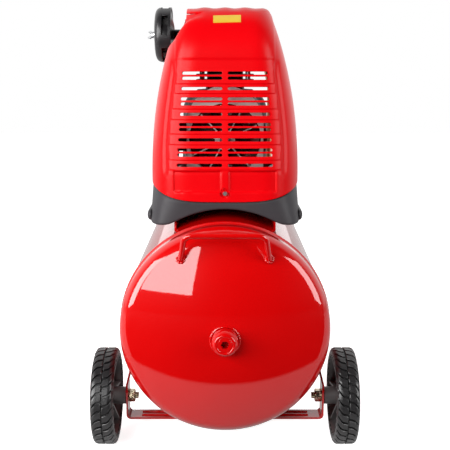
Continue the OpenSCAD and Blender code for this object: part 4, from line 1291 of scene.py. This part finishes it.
FILTER_TURNS = (160, 232, 304, 16, 88)
CUP_LENGTH = FILTER_IN - FILTER_OUT
WINDOW_LOW, WINDOW_HIGH = 4.0, CUP_LENGTH - 13.5


def on_cup(points, turn):
    """Moves points (height, across, radius) to the cup's wall; a turn of 180 degrees is the rear."""
    a = math.radians(turn)
    moved = []
    for h, t, r in points:
        y, z = r * math.cos(a) - t * math.sin(a), r * math.sin(a) + t * math.cos(a)
        moved.append((FILTER_IN - h, FILTER_Y + y, FILTER_Z + z))
    return moved


def slab(h0, h1, t0, t1, r0, r1, turn):
    """Block on the cup's wall between two heights, two places across and two radii."""
    points, faces = prism([(h0, t0), (h1, t0), (h1, t1), (h0, t1)], r0, r1)
    return on_cup(points, turn), faces


def make_filter_cover():
    """Cup with framed air windows round its wall and a dished end."""
    length, rim = CUP_LENGTH, FILTER_R
    profile = [
        (rim - 2.2, 0.0), (rim - 0.4, 0.0), (rim, 0.5), (rim, length - 12), (rim - 0.9, length - 8.4),
        (rim - 2.6, length - 5.6), (rim - 5.4, length - 3.4), (rim - 9.5, length - 2.0),
        (rim - 15, length - 1.2), (13, length - 0.4), (11.5, length - 1.2), (8.5, length - 1.6),
        (7.5, length - 0.8), (3.0, length - 0.8), (3.0, length - 3.0), (rim - 12, length - 4.0),
        (rim - 7, length - 6.5), (rim - 4, length - 9.5), (rim - 2.2, length - 13),
    ]
    segments = 180
    cup, faces = lathe(profile, segments)
    faces += wall_faces(segments, (len(profile) - 1) * segments, 0)
    points = [(FILTER_IN - z, FILTER_Y + x, FILTER_Z + y) for x, y, z in cup]
    piece = mesh_piece(
        "filter_cup", points, faces, "black_plastic", replaces=("filter_cover",), smooth=32,
    )
    for turn in FILTER_TURNS:
        cut(piece, tool_object(*slab(WINDOW_LOW, WINDOW_HIGH, -17, 17, rim - 9, rim + 6, turn)))
    settle(piece, 32)
    make_filter_frames(rim)


def make_filter_frames(rim):
    """Raised frame and one louvre in each window."""
    low, high, back = WINDOW_LOW, WINDOW_HIGH, rim - 8.2
    shapes = []
    for turn in FILTER_TURNS:
        shapes += [
            slab(low - 1.2, low + 0.6, -18.2, 18.2, back, rim - 2.6, turn),
            slab(high - 0.6, high + 1.0, -18.2, 18.2, back, rim - 2.6, turn),
            slab(low, high, -18.2, -16.4, back, rim - 3.4, turn),
            slab(low, high, 16.4, 18.2, back, rim - 3.4, turn),
            slab(low, high, -1.5, 17, rim - 8.0, rim - 6.0, turn),
        ]
    points, faces = joined(*shapes)
    round_edges(mesh_piece("filter_window_frames", points, faces, "black_plastic"), 0.3)


# ---------- stage, light and camera ----------

WORLD_FILL, WORLD_BACK = 0.22, 0.5
FLOOR_GLOW, MIRROR_DIM, BOUNCE_DIM = 0.8, 0.55, 0.96
LIGHT_TARGET = (0, -0.37, 0.19)
CAMERA_BACK, CAMERA_HEIGHT, CAMERA_DOWN = 1.1647, 0.549, 10.3


def softbox(name, azimuth, elevation, size, radiance, distance=2.4):
    """Rectangular light turned to the tank's end, azimuth measured from straight behind the machine."""
    a, e = math.radians(azimuth), math.radians(elevation)
    way = Vector((math.sin(a) * math.cos(e), -math.cos(a) * math.cos(e), math.sin(e)))
    data = bpy.data.lights.new(name, "AREA")
    data.shape = "RECTANGLE"
    data.size, data.size_y = size
    data.energy = radiance * math.pi * size[0] * size[1]
    lamp = bpy.data.objects.new(name, data)
    bpy.context.scene.collection.objects.link(lamp)
    lamp.location = Vector(LIGHT_TARGET) + way * distance
    lamp.rotation_mode = "QUATERNION"
    lamp.rotation_quaternion = (-way).to_track_quat("-Z", "Y")
    lamp.visible_camera = False


def make_world():
    """White studio whose side behind the photographer is dark in reflections."""
    world = bpy.data.worlds.new("studio")
    bpy.context.scene.world = world
    world.use_nodes = True
    tree = world.node_tree
    path = tree.nodes.new("ShaderNodeLightPath")
    way = tree.nodes.new("ShaderNodeTexCoord").outputs["Generated"]
    along = axis_value(tree, way, 1)
    mirrored = map_value(tree, along, (-0.10, 0.35), (0.01, 1.2))
    fill = map_value(tree, along, (-0.1, 0.7), (WORLD_FILL, WORLD_BACK))
    strength = blend(tree, path.outputs["Is Glossy Ray"], fill, mirrored)
    strength = blend(tree, path.outputs["Is Camera Ray"], strength, 1.0)
    background = tree.nodes["Background"]
    background.inputs["Color"].default_value = (1, 1, 1, 1)
    tree.links.new(strength, background.inputs["Strength"])


def make_floor():
    """Pale floor that lights itself a little, so that it joins the white studio without an edge."""
    data = bpy.data.meshes.new("floor")
    size = 6.0
    corners = [(-size, -size, 0), (size, -size, 0), (size, size, 0), (-size, size, 0)]
    data.from_pydata(corners, [], [(0, 1, 2, 3)])
    floor = bpy.data.objects.new("floor", data)
    bpy.context.scene.collection.objects.link(floor)
    finish = material(
        "white_floor", (0.86, 0.86, 0.86), (0.9, 0.9, 0.9), (0.5, 0.6), mottle=3, grain=0.02,
    )
    data.materials.append(finish)
    tree = finish.node_tree
    shader = tree.nodes["Principled BSDF"]
    shader.inputs["Emission Color"].default_value = (1, 1, 1, 1)
    shader.inputs["Emission Strength"].default_value = FLOOR_GLOW
    shader.inputs["Specular IOR Level"].default_value = 0.1
    path = tree.nodes.new("ShaderNodeLightPath")
    along = axis_value(tree, object_place(tree), 1)
    near = map_value(tree, along, (-0.505, -0.485), (1.0, MIRROR_DIM))
    hidden = blend(tree, path.outputs["Is Glossy Ray"], BOUNCE_DIM, near)
    hidden = blend(tree, path.outputs["Is Camera Ray"], hidden, 0.0)
    dark = tree.nodes.new("ShaderNodeBsdfDiffuse")
    dark.inputs["Color"].default_value = (0.02, 0.02, 0.02, 1)
    mixer = tree.nodes.new("ShaderNodeMixShader")
    tree.links.new(hidden, mixer.inputs[0])
    tree.links.new(shader.outputs[0], mixer.inputs[1])
    tree.links.new(dark.outputs[0], mixer.inputs[2])
    tree.links.new(mixer.outputs[0], tree.nodes["Material Output"].inputs["Surface"])


def make_stage():
    """Floor, studio and three softboxes."""
    bpy.context.scene.view_settings.view_transform = "Standard"
    make_floor()
    make_world()
    softbox("main_softbox", -34, 21, (1.35, 1.2), 11)
    softbox("left_strip", -68, 18, (1.2, 1.6), 14)
    softbox("right_strip", 68, 19, (1.3, 1.5), 9)


def make_camera():
    """Camera at the wheel end, about as high as the hood's top, looking a little down."""
    data = bpy.data.cameras.new("camera")
    data.sensor_width = 36
    data.lens = 68
    camera = bpy.data.objects.new("camera", data)
    bpy.context.scene.collection.objects.link(camera)
    camera.location = (0, TANGENT_Y * MM - CAMERA_BACK, CAMERA_HEIGHT)
    camera.rotation_euler = (math.radians(90 - CAMERA_DOWN), 0, 0)
    bpy.context.scene.camera = camera


dress_cad_nodes()
make_tank()
make_sockets()
make_bail()
make_hood_rear()
make_hood_front()
make_label()
make_tray()
make_wheels()
make_axle_bolts()
make_filter_cover()
make_stage()
make_camera()
